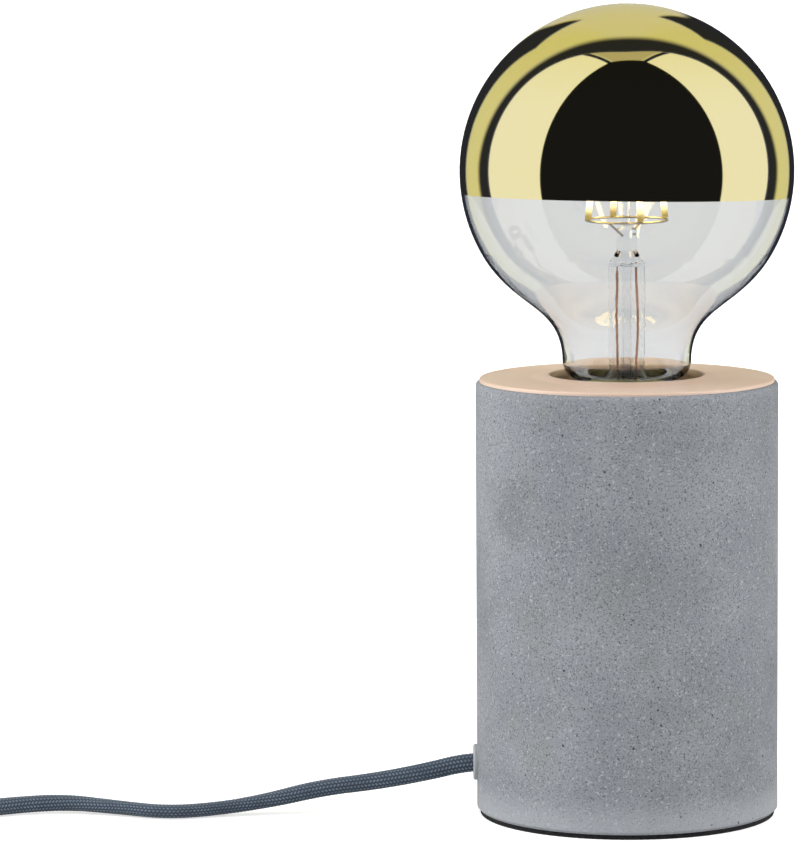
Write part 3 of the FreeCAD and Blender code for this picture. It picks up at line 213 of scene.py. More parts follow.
def line_through(name, route):
    """Points along the smooth line that has the route as its control points."""
    curve = bpy.data.curves.new(name, "CURVE")
    curve.dimensions = "3D"
    curve.resolution_u = LEAD_CURVE_STEPS
    spline = curve.splines.new("NURBS")
    spline.points.add(len(route) - 1)
    for point, spot in zip(spline.points, route):
        point.co = (*spot, 1.0)
    spline.order_u = 3
    spline.use_endpoint_u = True
    holder = bpy.data.objects.new(name, curve)
    line = bpy.data.meshes.new_from_object(holder)
    spots = [v.co.copy() for v in line.vertices]
    bpy.data.objects.remove(holder)
    bpy.data.curves.remove(curve)
    bpy.data.meshes.remove(line)
    return spots


def even_steps(spots, step):
    """The same line in equal steps, with the distance of each point from its start."""
    reached = [0.0]
    for a, b in zip(spots, spots[1:]):
        reached.append(reached[-1] + (b - a).length)
    count = round(reached[-1] / step)
    even, distances, at = [], [], 0
    for n in range(count + 1):
        distance = reached[-1] * n / count
        while at < len(spots) - 2 and reached[at + 1] < distance:
            at += 1
        share = (distance - reached[at]) / (reached[at + 1] - reached[at])
        even.append(spots[at].lerp(spots[at + 1], share))
        distances.append(distance)
    return even, distances


def eased(share):
    """A share kept between 0 and 1, with a soft start and end."""
    share = min(max(share, 0.0), 1.0)
    return share * share * (3 - 2 * share)


def between_stops(stops, at):
    """A value between the two stops round it, eased; stops go from the highest place to the lowest."""
    for (high, first), (low, last) in zip(stops, stops[1:]):
        if at >= low:
            return first + (last - first) * eased((high - at) / (high - low))
    return stops[-1][1]


def lead_corners(spots, distances, facets, roll_at, stitched):
    """The lead's oval outline, ring after ring, rolled over as it goes."""
    corners = []
    for n, (spot, distance) in enumerate(zip(spots, distances)):
        ahead = (spots[min(n + 1, len(spots) - 1)] - spots[max(n - 1, 0)]).normalized()
        level = ahead.cross(Vector((0, 0, 1))).normalized()
        upward = level.cross(ahead)
        roll = math.radians(roll_at(spot, distance, distances[-1]))
        broad = level * math.cos(roll) + upward * math.sin(roll)
        thin = upward * math.cos(roll) - level * math.sin(roll)
        for facet in range(facets):
            turn = facet / facets
            angle = 2 * math.pi * turn
            dent = STITCH_HEIGHT * (1 - stitch_height(distance, turn)) if stitched else 0.0
            corners.append(
                spot + broad * math.cos(angle) * (LEAD_WIDTH / 2 - dent)
                + thin * math.sin(angle) * (LEAD_THICKNESS / 2 - dent)
            )
    return corners


def lead_faces(distances, facets):
    """Faces between the rings and over both ends, with the distance along and the turn round as UVs."""
    faces, uvs = [], []
    for n in range(len(distances) - 1):
        near, far = n * facets, (n + 1) * facets
        for facet in range(facets):
            after = (facet + 1) % facets
            faces.append((near + facet, near + after, far + after, far + facet))
            for ring, turn in ((n, facet), (n, facet + 1), (n + 1, facet + 1), (n + 1, facet)):
                uvs.append((distances[ring], turn / facets))
    last = (len(distances) - 1) * facets
    faces.append(tuple(reversed(range(facets))))
    faces.append(tuple(range(last, last + facets)))
    uvs += [(0.0, n / facets) for n in range(2 * facets)]
    return faces, uvs


def oval_lead(name, route, step, facets, roll_at, stitched):
    """A closed oval tube along the route, and the line through its middle."""
    spots, distances = even_steps(line_through(name + "_line", route), step)
    faces, uvs = lead_faces(distances, facets)
    mesh = bpy.data.meshes.new(name)
    mesh.from_pydata(lead_corners(spots, distances, facets, roll_at, stitched), [], faces)
    layer = mesh.uv_layers.new(name="lead")
    layer.data.foreach_set("uv", [value for uv in uvs for value in uv])
    mesh.polygons.foreach_set("use_smooth", [True] * len(mesh.polygons))
    mesh.update()
    lead = bpy.data.objects.new(name, mesh)
    bpy.context.scene.collection.objects.link(lead)
    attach(lead, "base")
    return lead, [tuple(spot) for spot in spots[::4]] + [tuple(spots[-1])]


def roll_to_switch(spot, distance, length):
    """How far the lead has rolled over at its place along x."""
    return between_stops(LEAD_ROLL, spot.x)


textile_braid = braid()
lamp_lead, lamp_lead_line = oval_lead(
    "lamp_lead", LAMP_TO_SWITCH, LEAD_STEP, LEAD_FACETS, roll_to_switch, stitched=True
)
lamp_lead.data.materials.append(textile_braid)
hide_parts("cord_to_switch")


# --- the rest of the lead -----------------------------------------------------------------------
# From the switch's far end it runs into a neat coil of two layers and comes off the top of it to
# the plug. In the coil the lead stands on its edge, so the turns lie side by side and on each other.
SWITCH_TO_COIL = [
    (-0.2735, -0.019, 0.0082), (-0.2845, -0.019, 0.0082), (-0.297, -0.0192, 0.0052),
    (-0.310, -0.020375, 0.0030), (-0.3222, -0.020375, 0.0029),
]
COIL_TO_PLUG = [
    (-0.3222, 0.054775, 0.0086), (-0.311, 0.054775, 0.0086), (-0.2985, 0.0482, 0.0078),
    (-0.286, 0.04195, 0.00685), (-0.274, 0.043, 0.00685),
]
COIL_MIDDLE = (-0.327, 0.0172)
COIL_INNER_R = 0.020025
COIL_TURNS = 6.5
COIL_PITCH = 0.0054
COIL_LOW_Z = 0.0029
COIL_RISE = 0.0057
COIL_START_ANGLE = -90
COIL_POINTS_PER_TURN = 24
COIL_STEP = 0.00085
COIL_FACETS = 44
EDGE_ROLL = 90
ROLL_OVER = 0.040


def coil_route():
    """The coil's turns: in along the table, then out again a layer higher."""
    route = []
    for n in range(round(COIL_TURNS * COIL_POINTS_PER_TURN) + 1):
        turns = n / COIL_POINTS_PER_TURN
        from_inside = turns - COIL_TURNS / 2
        radius = COIL_INNER_R + COIL_PITCH * abs(from_inside)
        angle = math.radians(COIL_START_ANGLE - 360 * turns)
        route.append((
            COIL_MIDDLE[0] + radius * math.cos(angle),
            COIL_MIDDLE[1] + radius * math.sin(angle),
            COIL_LOW_Z + COIL_RISE * eased(0.5 + 2 * from_inside),
        ))
    return route


def roll_in_coil(spot, distance, length):
    """Flat at the switch and the plug, on its edge in the coil."""
    return EDGE_ROLL * eased(min(distance, length - distance) / ROLL_OVER)


coiled_lead, coiled_lead_line = oval_lead(
    "coiled_lead", SWITCH_TO_COIL + coil_route() + COIL_TO_PLUG, COIL_STEP, COIL_FACETS, roll_in_coil,
    stitched=False,
)
coiled_lead.data.materials.append(textile_braid)
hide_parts("cord_to_coil", "cord_coil", "cord_to_plug")


# --- the in-line switch -------------------------------------------------------------------------
# Two halves of black thermoplastic screwed together from below, with a rocker between them, and
# brass terminals, a blade and three insulated wires inside.
SWITCH_BLACK = (0.013, 0.013, 0.014)
ROCKER_BLACK = (0.018, 0.018, 0.019)
LIVE_BROWN = (0.16, 0.055, 0.022)
BRASS_COLOUR = (0.74, 0.56, 0.27)
ZINC_COLOUR = (0.62, 0.63, 0.62)
MOULD_GRAIN = 0.00001
MOULD_GRAIN_SCALE = 2600.0
MOULD_CLOUD_SCALE = 55.0
METAL_GRAIN = 0.000006
METAL_GRAIN_SCALE = 900.0
METAL_STAIN_SCALE = 120.0


def put_on(finish, *names):
    """Gives the CAD pieces of those names the finish; their meshes stay as they are."""
    for name in names:
        mesh = nodes[name].data
        mesh.materials.clear()
        mesh.materials.append(finish)


def moulded_plastic(name, colour, roughness, grain=MOULD_GRAIN):
    """Spark-eroded moulding: a fine grain and slightly uneven gloss."""
    finish, tree, shader, place = new_finish(name, roughness)
    clouds = unevenness(tree, place["Object"], MOULD_CLOUD_SCALE)
    gloss = fade(tree, clouds, 0.3, 0.7, roughness * 0.85, roughness * 1.15)
    paler = tuple(min(1.0, channel * 1.25 + 0.004) for channel in colour)
    tree.links.new(gloss, shader.inputs["Roughness"])
    tree.links.new(blend_colours(tree, clouds, colour, paler), shader.inputs["Base Color"])
    give_height(tree, shader, unevenness(tree, place["Object"], MOULD_GRAIN_SCALE, 3.0), grain)
    return finish


def plain_metal(name, colour, roughness, grain_scale=METAL_GRAIN_SCALE, dull=0.8, metallic=1.0):
    """Rolled or turned metal, with small stains and fine unevenness."""
    finish, tree, shader, place = new_finish(name, roughness, metallic)
    stains = unevenness(tree, place["Object"], METAL_STAIN_SCALE, 4.0)
    gloss = fade(tree, stains, 0.3, 0.7, roughness * 0.8, roughness * 1.3)
    duller = tuple(channel * dull for channel in colour)
    spread = fade(tree, stains, 0.35, 0.7)
    tree.links.new(gloss, shader.inputs["Roughness"])
    tree.links.new(blend_colours(tree, spread, colour, duller), shader.inputs["Base Color"])
    give_height(tree, shader, unevenness(tree, place["Object"], grain_scale), METAL_GRAIN)
    return finish


turned_brass = plain_metal("turned_brass", BRASS_COLOUR, 0.28)
zinc_plate = plain_metal("zinc_plate", ZINC_COLOUR, 0.34, dull=0.7)
brown_insulation = moulded_plastic("brown_insulation", LIVE_BROWN, 0.35)
put_on(moulded_plastic("switch_plastic", SWITCH_BLACK, 0.42), "switch_base", "switch_cover")
put_on(moulded_plastic("rocker_plastic", ROCKER_BLACK, 0.24, grain=0.000003), "switch_rocker")
put_on(turned_brass, "switch_contacts")
put_on(brown_insulation, "switch_wires")
put_on(zinc_plate, "switch_screws")


# --- the plug -----------------------------------------------------------------------------------
# A flat two-pin plug moulded on the lead, in the same black as the switch but softer and duller.
# Its pins are nickel-plated brass.
PLUG_BLACK = (0.016, 0.016, 0.017)
PIN_NICKEL = (0.66, 0.64, 0.6)

put_on(moulded_plastic("plug_vinyl", PLUG_BLACK, 0.5, grain=0.00002), "plug_body")
put_on(plain_metal("nickel_plate", PIN_NICKEL, 0.2), "plug_pins")


# --- the grommet and the lead's clamp -----------------------------------------------------------
# A sleeve of clear, slightly grey vinyl is pushed through the wall round the lead. Inside, a nylon
# clamp on the steel plate takes the pull, and the two wires go on up the threaded tube.
GROMMET_GREY = (0.52, 0.535, 0.56)
GROMMET_CLEAR = 0.35
NYLON_WHITE = (0.72, 0.72, 0.69)
NEUTRAL_BLUE = (0.03, 0.12, 0.42)
WEAVE_SCALE = 950.0
WEAVE_RELIEF = -0.0002


def cell_distance(tree, spot, scale):
    """How far each spot lies from the middle of the irregular cell it is in."""
    return add_node(tree, "ShaderNodeTexVoronoi", {"Vector": spot, "Scale": scale}).outputs["Distance"]


grommet_vinyl = moulded_plastic("grommet_vinyl", GROMMET_GREY, 0.32)
shader = grommet_vinyl.node_tree.nodes["Principled BSDF"]
shader.inputs["Transmission Weight"].default_value = GROMMET_CLEAR
put_on(grommet_vinyl, "cord_grommet")
put_on(moulded_plastic("clamp_nylon", NYLON_WHITE, 0.4), "clamp_base", "clamp_bar")
put_on(zinc_plate, "clamp_screws")
put_on(brown_insulation, "live_wire")
put_on(moulded_plastic("blue_insulation", NEUTRAL_BLUE, 0.35), "neutral_wire")

inner_braid, tree, shader, place = new_finish("inner_braid", 0.7)
weave = cell_distance(tree, place["Object"], WEAVE_SCALE)
# Pale at each cell's middle and dark towards its edges, where the relief sinks: painted shade in the
# weave's gaps.
painted_weave_shade = blend_colours(tree, fade(tree, weave, 0.1, 0.6), LEAD_PALE_AND_CROWN_LIGHT, LEAD_DARK_AND_GAP_SHADE)
tree.links.new(painted_weave_shade, shader.inputs["Base Color"])
give_height(tree, shader, weave, WEAVE_RELIEF)
put_on(inner_braid, "inner_cord")


# --- the concrete body --------------------------------------------------------------------------
# One casting of fine grey concrete, straight from a smooth mould: cloudy patches, fine sand that
# shows as speckle, and small air holes. It is left unsealed, so it is matt all over.
CONCRETE_PALE = (0.305, 0.322, 0.350)
CONCRETE_MID = (0.252, 0.268, 0.296)
CONCRETE_WARM = (0.262, 0.270, 0.272)
CONCRETE_DAMP = (0.185, 0.198, 0.212)
CONCRETE_SAND = (0.115, 0.125, 0.14)
# Lime specks, and the colour of the paler top edge and of the painted bounce light at the foot.
CONCRETE_LIME_AND_BOUNCE_LIGHT = (0.44, 0.46, 0.49)
CONCRETE_HOLE_SHADE = (0.03, 0.034, 0.038)
CONCRETE_RELIEF = 0.00025
CLOUD_SCALE = 34.0
WARM_SCALE = 58.0
SMUDGE_SCALE = 21.0
SAND_SCALE = 2300.0
GRIT_SCALE = 1150.0
CLUSTER_SCALE = 75.0
# Air holes, as (how many cells to a metre, largest size in a cell, share of the cells without one).
SMALL_HOLES = (520.0, 0.13, 0.5)
LARGE_HOLES = (210.0, 0.06, 0.7)
# Paler bands at the top edge and the foot; the foot's band is partly painted light bounced up from the
# table.
TOP_PALER_FROM, TOP_PALER_FULL, TOP_PALER = 0.1208, 0.1243, 0.12
FOOT_BOUNCE_LIGHT_FROM, FOOT_BOUNCE_LIGHT_FULL, FOOT_BOUNCE_LIGHT = 0.0134, 0.0034, 0.5


def air_holes(tree, spot, scale, size, without):
    """Round holes, one at most in each cell."""
    cells = add_node(tree, "ShaderNodeTexVoronoi", {"Vector": spot, "Scale": scale, "Randomness": 1.0})
    lot = add_node(tree, "ShaderNodeSeparateColor", {"Color": cells.outputs["Color"]})
    kept = work_out(tree, "GREATER_THAN", lot.outputs[0], without)
    reach = work_out(tree, "MULTIPLY_ADD", lot.outputs[1], size, size * 0.4)
    inside = work_out(tree, "LESS_THAN", cells.outputs["Distance"], reach)
    return work_out(tree, "MULTIPLY", kept, inside)


concrete, tree, shader, place = new_finish("cast_concrete", 0.88)
spot = place["Object"]
clouds = unevenness(tree, spot, CLOUD_SCALE, 3.0)
sand = unevenness(tree, spot, SAND_SCALE, 1.0)
grit = unevenness(tree, spot, GRIT_SCALE, roughness=0.65)
tone = blend_colours(tree, fade(tree, clouds, 0.34, 0.66), CONCRETE_MID, CONCRETE_PALE)
# What lies over the ground colour, as (noise, where it starts, where it is full, share, colour).
for where, start, full, share, colour in (
    (unevenness(tree, spot, WARM_SCALE), 0.5, 0.72, 0.6, CONCRETE_WARM),
    (unevenness(tree, spot, SMUDGE_SCALE, 4.0, 0.6), 0.52, 0.72, 0.7, CONCRETE_DAMP),
    (sand, 0.54, 0.68, 0.8, CONCRETE_SAND),
    (grit, 0.58, 0.72, 0.75, CONCRETE_SAND),
    (grit, 0.42, 0.28, 0.85, CONCRETE_LIME_AND_BOUNCE_LIGHT),
):
    tone = blend_colours(tree, fade(tree, where, start, full, 0.0, share), tone, colour)

# Paler along the top edge, and along the foot, where it is partly a paler edge and partly painted light
# bounced up from the table.
upright = add_node(tree, "ShaderNodeSeparateXYZ", {"Vector": spot}).outputs["Z"]
paler_top_and_bounce_light = work_out(
    tree, "MAXIMUM", fade(tree, upright, TOP_PALER_FROM, TOP_PALER_FULL, 0.0, TOP_PALER),
    fade(tree, upright, FOOT_BOUNCE_LIGHT_FROM, FOOT_BOUNCE_LIGHT_FULL, 0.0, FOOT_BOUNCE_LIGHT),
)
tone = blend_colours(tree, paler_top_and_bounce_light, tone, CONCRETE_LIME_AND_BOUNCE_LIGHT)

# The small holes come in clusters, the larger ones anywhere.
clusters = fade(tree, unevenness(tree, spot, CLUSTER_SCALE), 0.46, 0.56)
holes = work_out(
    tree, "MAXIMUM", air_holes(tree, spot, *LARGE_HOLES),
    work_out(tree, "MULTIPLY", air_holes(tree, spot, *SMALL_HOLES), clusters),
)
# The holes are filled with near-black: painted shade inside them. Their depth is in the relief below.
tone = blend_colours(tree, work_out(tree, "MULTIPLY", holes, 0.85), tone, CONCRETE_HOLE_SHADE)
tree.links.new(tone, shader.inputs["Base Color"])
relief = work_out(tree, "MULTIPLY_ADD", sand, 0.12, work_out(tree, "MULTIPLY", clouds, 0.3))
give_height(tree, shader, work_out(tree, "SUBTRACT", relief, holes), CONCRETE_RELIEF, 0.7)
shader.inputs["Specular IOR Level"].default_value = 0.25
put_on(concrete, "concrete_body")


# --- the copper lid -----------------------------------------------------------------------------
# Thin sheet, spun so that its hole rises to a soft lip, then bead-blasted and copper plated: a
# matt, rosy surface with the faintest cloudiness.
COPPER_ROSE = (0.90, 0.68, 0.55)
COPPER_PALE = (0.93, 0.715, 0.59)
COPPER_HAZE_SCALE = 34.0
COPPER_BLAST_SCALE = 4200.0
COPPER_BLAST_RELIEF = 0.00002
COPPER_DULL, COPPER_BRIGHT = 0.5, 0.42

copper, tree, shader, place = new_finish("matt_copper_plate", COPPER_DULL, metallic=0.3)
haze = fade(tree, unevenness(tree, place["Object"], COPPER_HAZE_SCALE, 3.0), 0.3, 0.7)
gloss = work_out(tree, "MULTIPLY_ADD", haze, COPPER_BRIGHT - COPPER_DULL, COPPER_DULL)
tree.links.new(blend_colours(tree, haze, COPPER_ROSE, COPPER_PALE), shader.inputs["Base Color"])
tree.links.new(gloss, shader.inputs["Roughness"])
blasting = unevenness(tree, place["Object"], COPPER_BLAST_SCALE, 1.0)
give_height(tree, shader, blasting, COPPER_BLAST_RELIEF, 0.6)
put_on(copper, "copper_lid")


# --- the foam pad -------------------------------------------------------------------------------
# A disc die-cut from black closed-cell foam and stuck under the foot. The die leaves a slightly
# waisted edge, and the lamp's weight rounds it at the table.
PAD_FACETS = 160
PAD_EDGE = 0.00035
PAD_EDGE_STEPS = 3
PAD_WAIST = 0.00018
FOAM_BLACK = (0.006, 0.006, 0.007)
FOAM_GREY = (0.02, 0.02, 0.022)
FOAM_CELL_SCALE = 1500.0
FOAM_RELIEF = 0.00008

pad_low, pad_high = (Vector(corner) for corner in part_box("foam_pad"))
pad_middle = (pad_low + pad_high) / 2
pad_r = (pad_high.x - pad_low.x) / 2
pad_waisted = 1 - PAD_WAIST / pad_r
bpy.ops.mesh.primitive_cylinder_add(
    vertices=PAD_FACETS, radius=pad_r, depth=pad_high.z - pad_low.z, location=pad_middle
)
foam_disc = bpy.context.object
foam_disc.name = foam_disc.data.name = "foam_disc"
bpy.ops.object.transform_apply(location=True, rotation=True, scale=True)
rounding = foam_disc.modifiers.new("rounding", "BEVEL")
rounding.width = PAD_EDGE
rounding.segments = PAD_EDGE_STEPS
rounding.limit_method = "ANGLE"
bpy.ops.object.modifier_apply(modifier="rounding")
bpy.ops.object.mode_set(mode="EDIT")
bpy.ops.mesh.select_all(action="SELECT")
bpy.ops.mesh.bisect(plane_co=(0, 0, pad_middle.z), plane_no=(0, 0, 1))
# The cut stays selected, and is drawn in to the waist.
bpy.ops.transform.resize(value=(pad_waisted, pad_waisted, 1), center_override=pad_middle)
bpy.ops.object.mode_set(mode="OBJECT")
bpy.ops.object.shade_smooth_by_angle(angle=math.radians(40))

foam, tree, shader, place = new_finish("closed_cell_foam", 0.9)
cells = cell_distance(tree, place["Object"], FOAM_CELL_SCALE)
foamed = blend_colours(tree, fade(tree, cells, 0.0, 0.7), FOAM_BLACK, FOAM_GREY)
tree.links.new(foamed, shader.inputs["Base Color"])
give_height(tree, shader, cells, FOAM_RELIEF)
foam_disc.data.materials.append(foam)
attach(foam_disc, "base")
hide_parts("foam_pad")
bpy.ops.object.select_all(action="DESELECT")


# --- the underside ------------------------------------------------------------------------------
# A zinc-plated steel plate is let into the foot and closes the wiring cavity. Its three screws go
# into brass bushes that are cast into the concrete.
put_on(zinc_plate, "bottom_plate", "plate_screws")
put_on(turned_brass, "plate_bushes")


# --- the threaded tube --------------------------------------------------------------------------
# Zinc-plated M10 tube, the way up for the two wires. A nut and a washer on each side clamp it to
# the concrete, and the lampholder screws on its upper end.
put_on(zinc_plate, "threaded_tube", "tube_nuts", "tube_washers")


# --- the lampholder -----------------------------------------------------------------------------
# Pressed black phenolic: a domed cap on the tube and a skirt that screws over it. Inside are a
# steatite block and brass contacts.
PHENOLIC_BLACK = (0.012, 0.011, 0.011)
STEATITE_CREAM = (0.78, 0.75, 0.68)

put_on(moulded_plastic("black_phenolic", PHENOLIC_BLACK, 0.3), "holder_dome", "holder_skirt")
put_on(moulded_plastic("steatite", STEATITE_CREAM, 0.7, grain=0.00004), "holder_ceramic")
put_on(turned_brass, "contact_shell", "centre_contact", "terminal_blocks")
put_on(zinc_plate, "terminal_screws")


# --- the bulb's glass ---------------------------------------------------------------------------
# A blown soda-lime globe, 0.9 mm thick. The glass is clear, but along its outline one looks
# through much more of it, and there it darkens to grey.
GLASS_IOR = 1.5
GLASS_GREY = (0.60, 0.63, 0.66)
GLASS_DENSITY = 42.0
GLASS_WAVE_SCALE = 45.0
GLASS_WAVES = 0.00004


def clear_glass(name, ior, grey, density):
    """Glass with a grey body and the slightest waves of a blown surface."""
    finish, tree, shader, place = new_finish(name, 0.0)
    shader.inputs["Transmission Weight"].default_value = 1.0
    shader.inputs["IOR"].default_value = ior
    shader.inputs["Base Color"].default_value = (1.0, 1.0, 1.0, 1.0)
    give_height(tree, shader, unevenness(tree, place["Object"], GLASS_WAVE_SCALE, 1.0), GLASS_WAVES, 0.5)
    body = add_node(tree, "ShaderNodeVolumeAbsorption", {"Color": (*grey, 1.0), "Density": density})
    tree.links.new(body.outputs[0], tree.nodes["Material Output"].inputs["Volume"])
    return finish


blown_glass = clear_glass("blown_glass", GLASS_IOR, GLASS_GREY, GLASS_DENSITY)
put_on(blown_glass, "bulb_glass")


# --- the mirror ---------------------------------------------------------------------------------
# The crown's inside is dipped in a gold mirror coat. The coat lies right on the glass, so the
# glass's inner face is what mirrors; the coat itself backs it.
MIRROR_GOLD = (0.92, 0.825, 0.445)
MIRROR_DEEP = (0.86, 0.755, 0.29)
DEEP_FROM, DEEP_TO = 0.203, 0.228
RUN_SCALE = 28.0
RUN_DEPTH = 0.004
GLOBE_MIDDLE = (0.0, 0.0, 0.1846)
GLASS_INSIDE = 0.04705
# The level of the dip, and the way that was up while the globe was dipped.
DIP_LEVEL = 0.17769
DIP_UPWARD = (0.01475, 0.03163, 0.99939)


def mirror_colour(tree, spot):
    """Gold that deepens towards the crown, where the coat is thickest, with faint runs."""
    upright = add_node(tree, "ShaderNodeSeparateXYZ", {"Vector": spot}).outputs["Z"]
    runs = work_out(tree, "MULTIPLY_ADD", unevenness(tree, spot, RUN_SCALE), RUN_DEPTH, upright)
    return blend_colours(tree, fade(tree, runs, DEEP_FROM, DEEP_TO), MIRROR_GOLD, MIRROR_DEEP)


mirror, tree, shader, place = new_finish("gold_mirror", 0.015, metallic=1.0)
tree.links.new(mirror_colour(tree, place["Object"]), shader.inputs["Base Color"])
put_on(mirror, "mirror_coat")

tree = blown_glass.node_tree
spot = tree.nodes.new("ShaderNodeTexCoord").outputs["Object"]
gold = add_node(tree, "ShaderNodeBsdfPrincipled", {
    "Base Color": mirror_colour(tree, spot), "Metallic": 1.0, "Roughness": 0.0,
})
dipped = add_node(tree, "ShaderNodeVectorMath", {0: spot, 1: DIP_UPWARD}, operation="DOT_PRODUCT")
reach = add_node(tree, "ShaderNodeVectorMath", {0: spot, 1: GLOBE_MIDDLE}, operation="DISTANCE")
coated = work_out(
    tree, "MULTIPLY", work_out(tree, "GREATER_THAN", dipped.outputs["Value"], DIP_LEVEL),
    work_out(tree, "LESS_THAN", reach.outputs["Value"], GLASS_INSIDE),
)
face = add_node(tree, "ShaderNodeMixShader", {
    0: coated, 1: tree.nodes["Principled BSDF"].outputs[0], 2: gold.outputs[0],
})
tree.links.new(face.outputs[0], tree.nodes["Material Output"].inputs["Surface"])


# --- the stem and what it carries ---------------------------------------------------------------
# A flare tube of thin glass with the exhaust tube inside, pinched above round the wires. A nickel
# hoop and four short arms hold the filaments, strips coated in yellow phosphor that are lit.
STEM_IOR = 1.28
STEM_GREY = (0.62, 0.65, 0.68)
STEM_DENSITY = 45.0
NICKEL = (0.62, 0.58, 0.52)
COPPER_COAT = (0.55, 0.27, 0.17)
PHOSPHOR_YELLOW = (0.9, 0.72, 0.2, 1.0)
CHIP_SCALE = 180.0
FILAMENT_GLOW = (1.0, 0.80, 0.42)
FILAMENT_GLOW_PALE = (1.0, 0.86, 0.52)
# The strips glow less towards their feet, where the light goes out below the last chip.
FILAMENT_FOOT, FILAMENT_FULL = 0.1716, 0.1795
FILAMENT_FOOT_POWER, FILAMENT_POWER = 0.05, 6.0

put_on(clear_glass("stem_glass", STEM_IOR, STEM_GREY, STEM_DENSITY), "bulb_stem", "exhaust_tube")
put_on(plain_metal("nickel_wire", NICKEL, 0.22, grain_scale=3000.0), "filament_hoop", "filament_arms")
put_on(plain_metal("copper_coated_wire", COPPER_COAT, 0.3), "lead_wires")

phosphor, tree, shader, place = new_finish("lit_phosphor", 0.6)
chips = add_node(tree, "ShaderNodeTexWave", {
    "Vector": place["Object"], "Scale": CHIP_SCALE, "Distortion": 0.6,
}, bands_direction="Z")
glow = blend_colours(tree, chips.outputs["Fac"], FILAMENT_GLOW, FILAMENT_GLOW_PALE)
upright = add_node(tree, "ShaderNodeSeparateXYZ", {"Vector": place["Object"]}).outputs["Z"]
power = fade(tree, upright, FILAMENT_FOOT, FILAMENT_FULL, FILAMENT_FOOT_POWER, FILAMENT_POWER)
tree.links.new(glow, shader.inputs["Emission Color"])
tree.links.new(power, shader.inputs["Emission Strength"])
shader.inputs["Base Color"].default_value = PHOSPHOR_YELLOW
put_on(phosphor, "led_filaments")


# --- the screw cap ------------------------------------------------------------------------------
# Drawn brass sleeve with a rolled screw thread, soldered round the glass at its plain rim and
# turned in at the foot over the black insulator with the tin-tipped centre contact.
THREAD_PITCH = 0.003629
THREAD_DEPTH = 0.00085
THREAD_RUN_IN = 0.0015
THREAD_FOOT = 0.0022
THREAD_RUN_OUT = 0.0012
CAP_WALL = 0.0004
CAP_RIM = 0.0042
CAP_FOOT_TURN = 0.002
CAP_ROWS = 76
CAP_FACETS = 96
SLEEVE_BRASS = (0.85, 0.78, 0.30)
INSULATOR_BLACK = (0.006, 0.006, 0.008)
SOLDER_TIN = (0.58, 0.57, 0.54)
BOARD_GREEN = (0.02, 0.09, 0.03, 1.0)
BOARD_GREEN_PALE = (0.025, 0.11, 0.04, 1.0)
BOARD_TRACK = (0.05, 0.19, 0.07, 1.0)
BOARD_TRACK_SCALE = 420.0

cap_low, cap_high = (Vector(corner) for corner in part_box("cap_shell"))
cap_r = (cap_high.x - cap_low.x) / 2
cap_row = (cap_high.z - cap_low.z) / CAP_ROWS


def cap_radius(z, angle):
    """The sleeve's outside: plain rim above, rolled thread, then a round turn inward at the foot."""
    from_foot, from_rim = z - cap_low.z, cap_high.z - z
    thread = 0.5 - 0.5 * math.cos(2 * math.pi * (z / THREAD_PITCH - angle / (2 * math.pi)))
    thread *= min(max((from_rim - CAP_RIM) / THREAD_RUN_IN, 0.0), 1.0)
    thread *= min(max((from_foot - THREAD_FOOT) / THREAD_RUN_OUT, 0.0), 1.0)
    turn = max(0.0, 1 - from_foot / CAP_FOOT_TURN)
    inward = (1 - math.sqrt(max(0.0, 1 - turn * turn))) * CAP_FOOT_TURN
    return cap_r - THREAD_DEPTH * thread - inward


bpy.ops.mesh.primitive_circle_add(vertices=CAP_FACETS, radius=cap_r, location=(0, 0, cap_low.z))
screw_cap = bpy.context.object
screw_cap.name = screw_cap.data.name = "screw_cap"
bpy.ops.object.transform_apply(location=True, rotation=True, scale=True)
bpy.ops.object.mode_set(mode="EDIT")
bpy.ops.mesh.select_all(action="SELECT")
for _ in range(CAP_ROWS):
    bpy.ops.mesh.extrude_region_move(TRANSFORM_OT_translate={"value": (0, 0, cap_row)})
bpy.ops.mesh.select_all(action="SELECT")
bpy.ops.mesh.normals_make_consistent(inside=False)
bpy.ops.object.mode_set(mode="OBJECT")
for corner in screw_cap.data.vertices:
    angle = math.atan2(corner.co.y, corner.co.x)
    corner.co.xy *= cap_radius(corner.co.z, angle) / corner.co.xy.length
wall = screw_cap.modifiers.new("wall", "SOLIDIFY")
wall.thickness = CAP_WALL
wall.offset = -1.0
bpy.ops.object.modifier_apply(modifier="wall")
bpy.ops.object.shade_smooth_by_angle(angle=math.radians(50))
screw_cap.data.materials.append(plain_metal("cap_brass", SLEEVE_BRASS, 0.4, metallic=0.15))
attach(screw_cap, "bulb")
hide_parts("cap_shell")
bpy.ops.object.select_all(action="DESELECT")

put_on(moulded_plastic("black_glass", INSULATOR_BLACK, 0.12, grain=0.000002), "cap_insulator")
put_on(plain_metal("soldered_tip", SOLDER_TIN, 0.38), "cap_tip")
board, tree, shader, place = new_finish("circuit_board", 0.45)
tracks = add_node(tree, "ShaderNodeTexBrick", {
    "Vector": place["Object"], "Scale": BOARD_TRACK_SCALE,
    "Color1": BOARD_GREEN, "Color2": BOARD_GREEN_PALE, "Mortar": BOARD_TRACK,
})
tree.links.new(tracks.outputs["Color"], shader.inputs["Base Color"])
put_on(board, "driver_board")


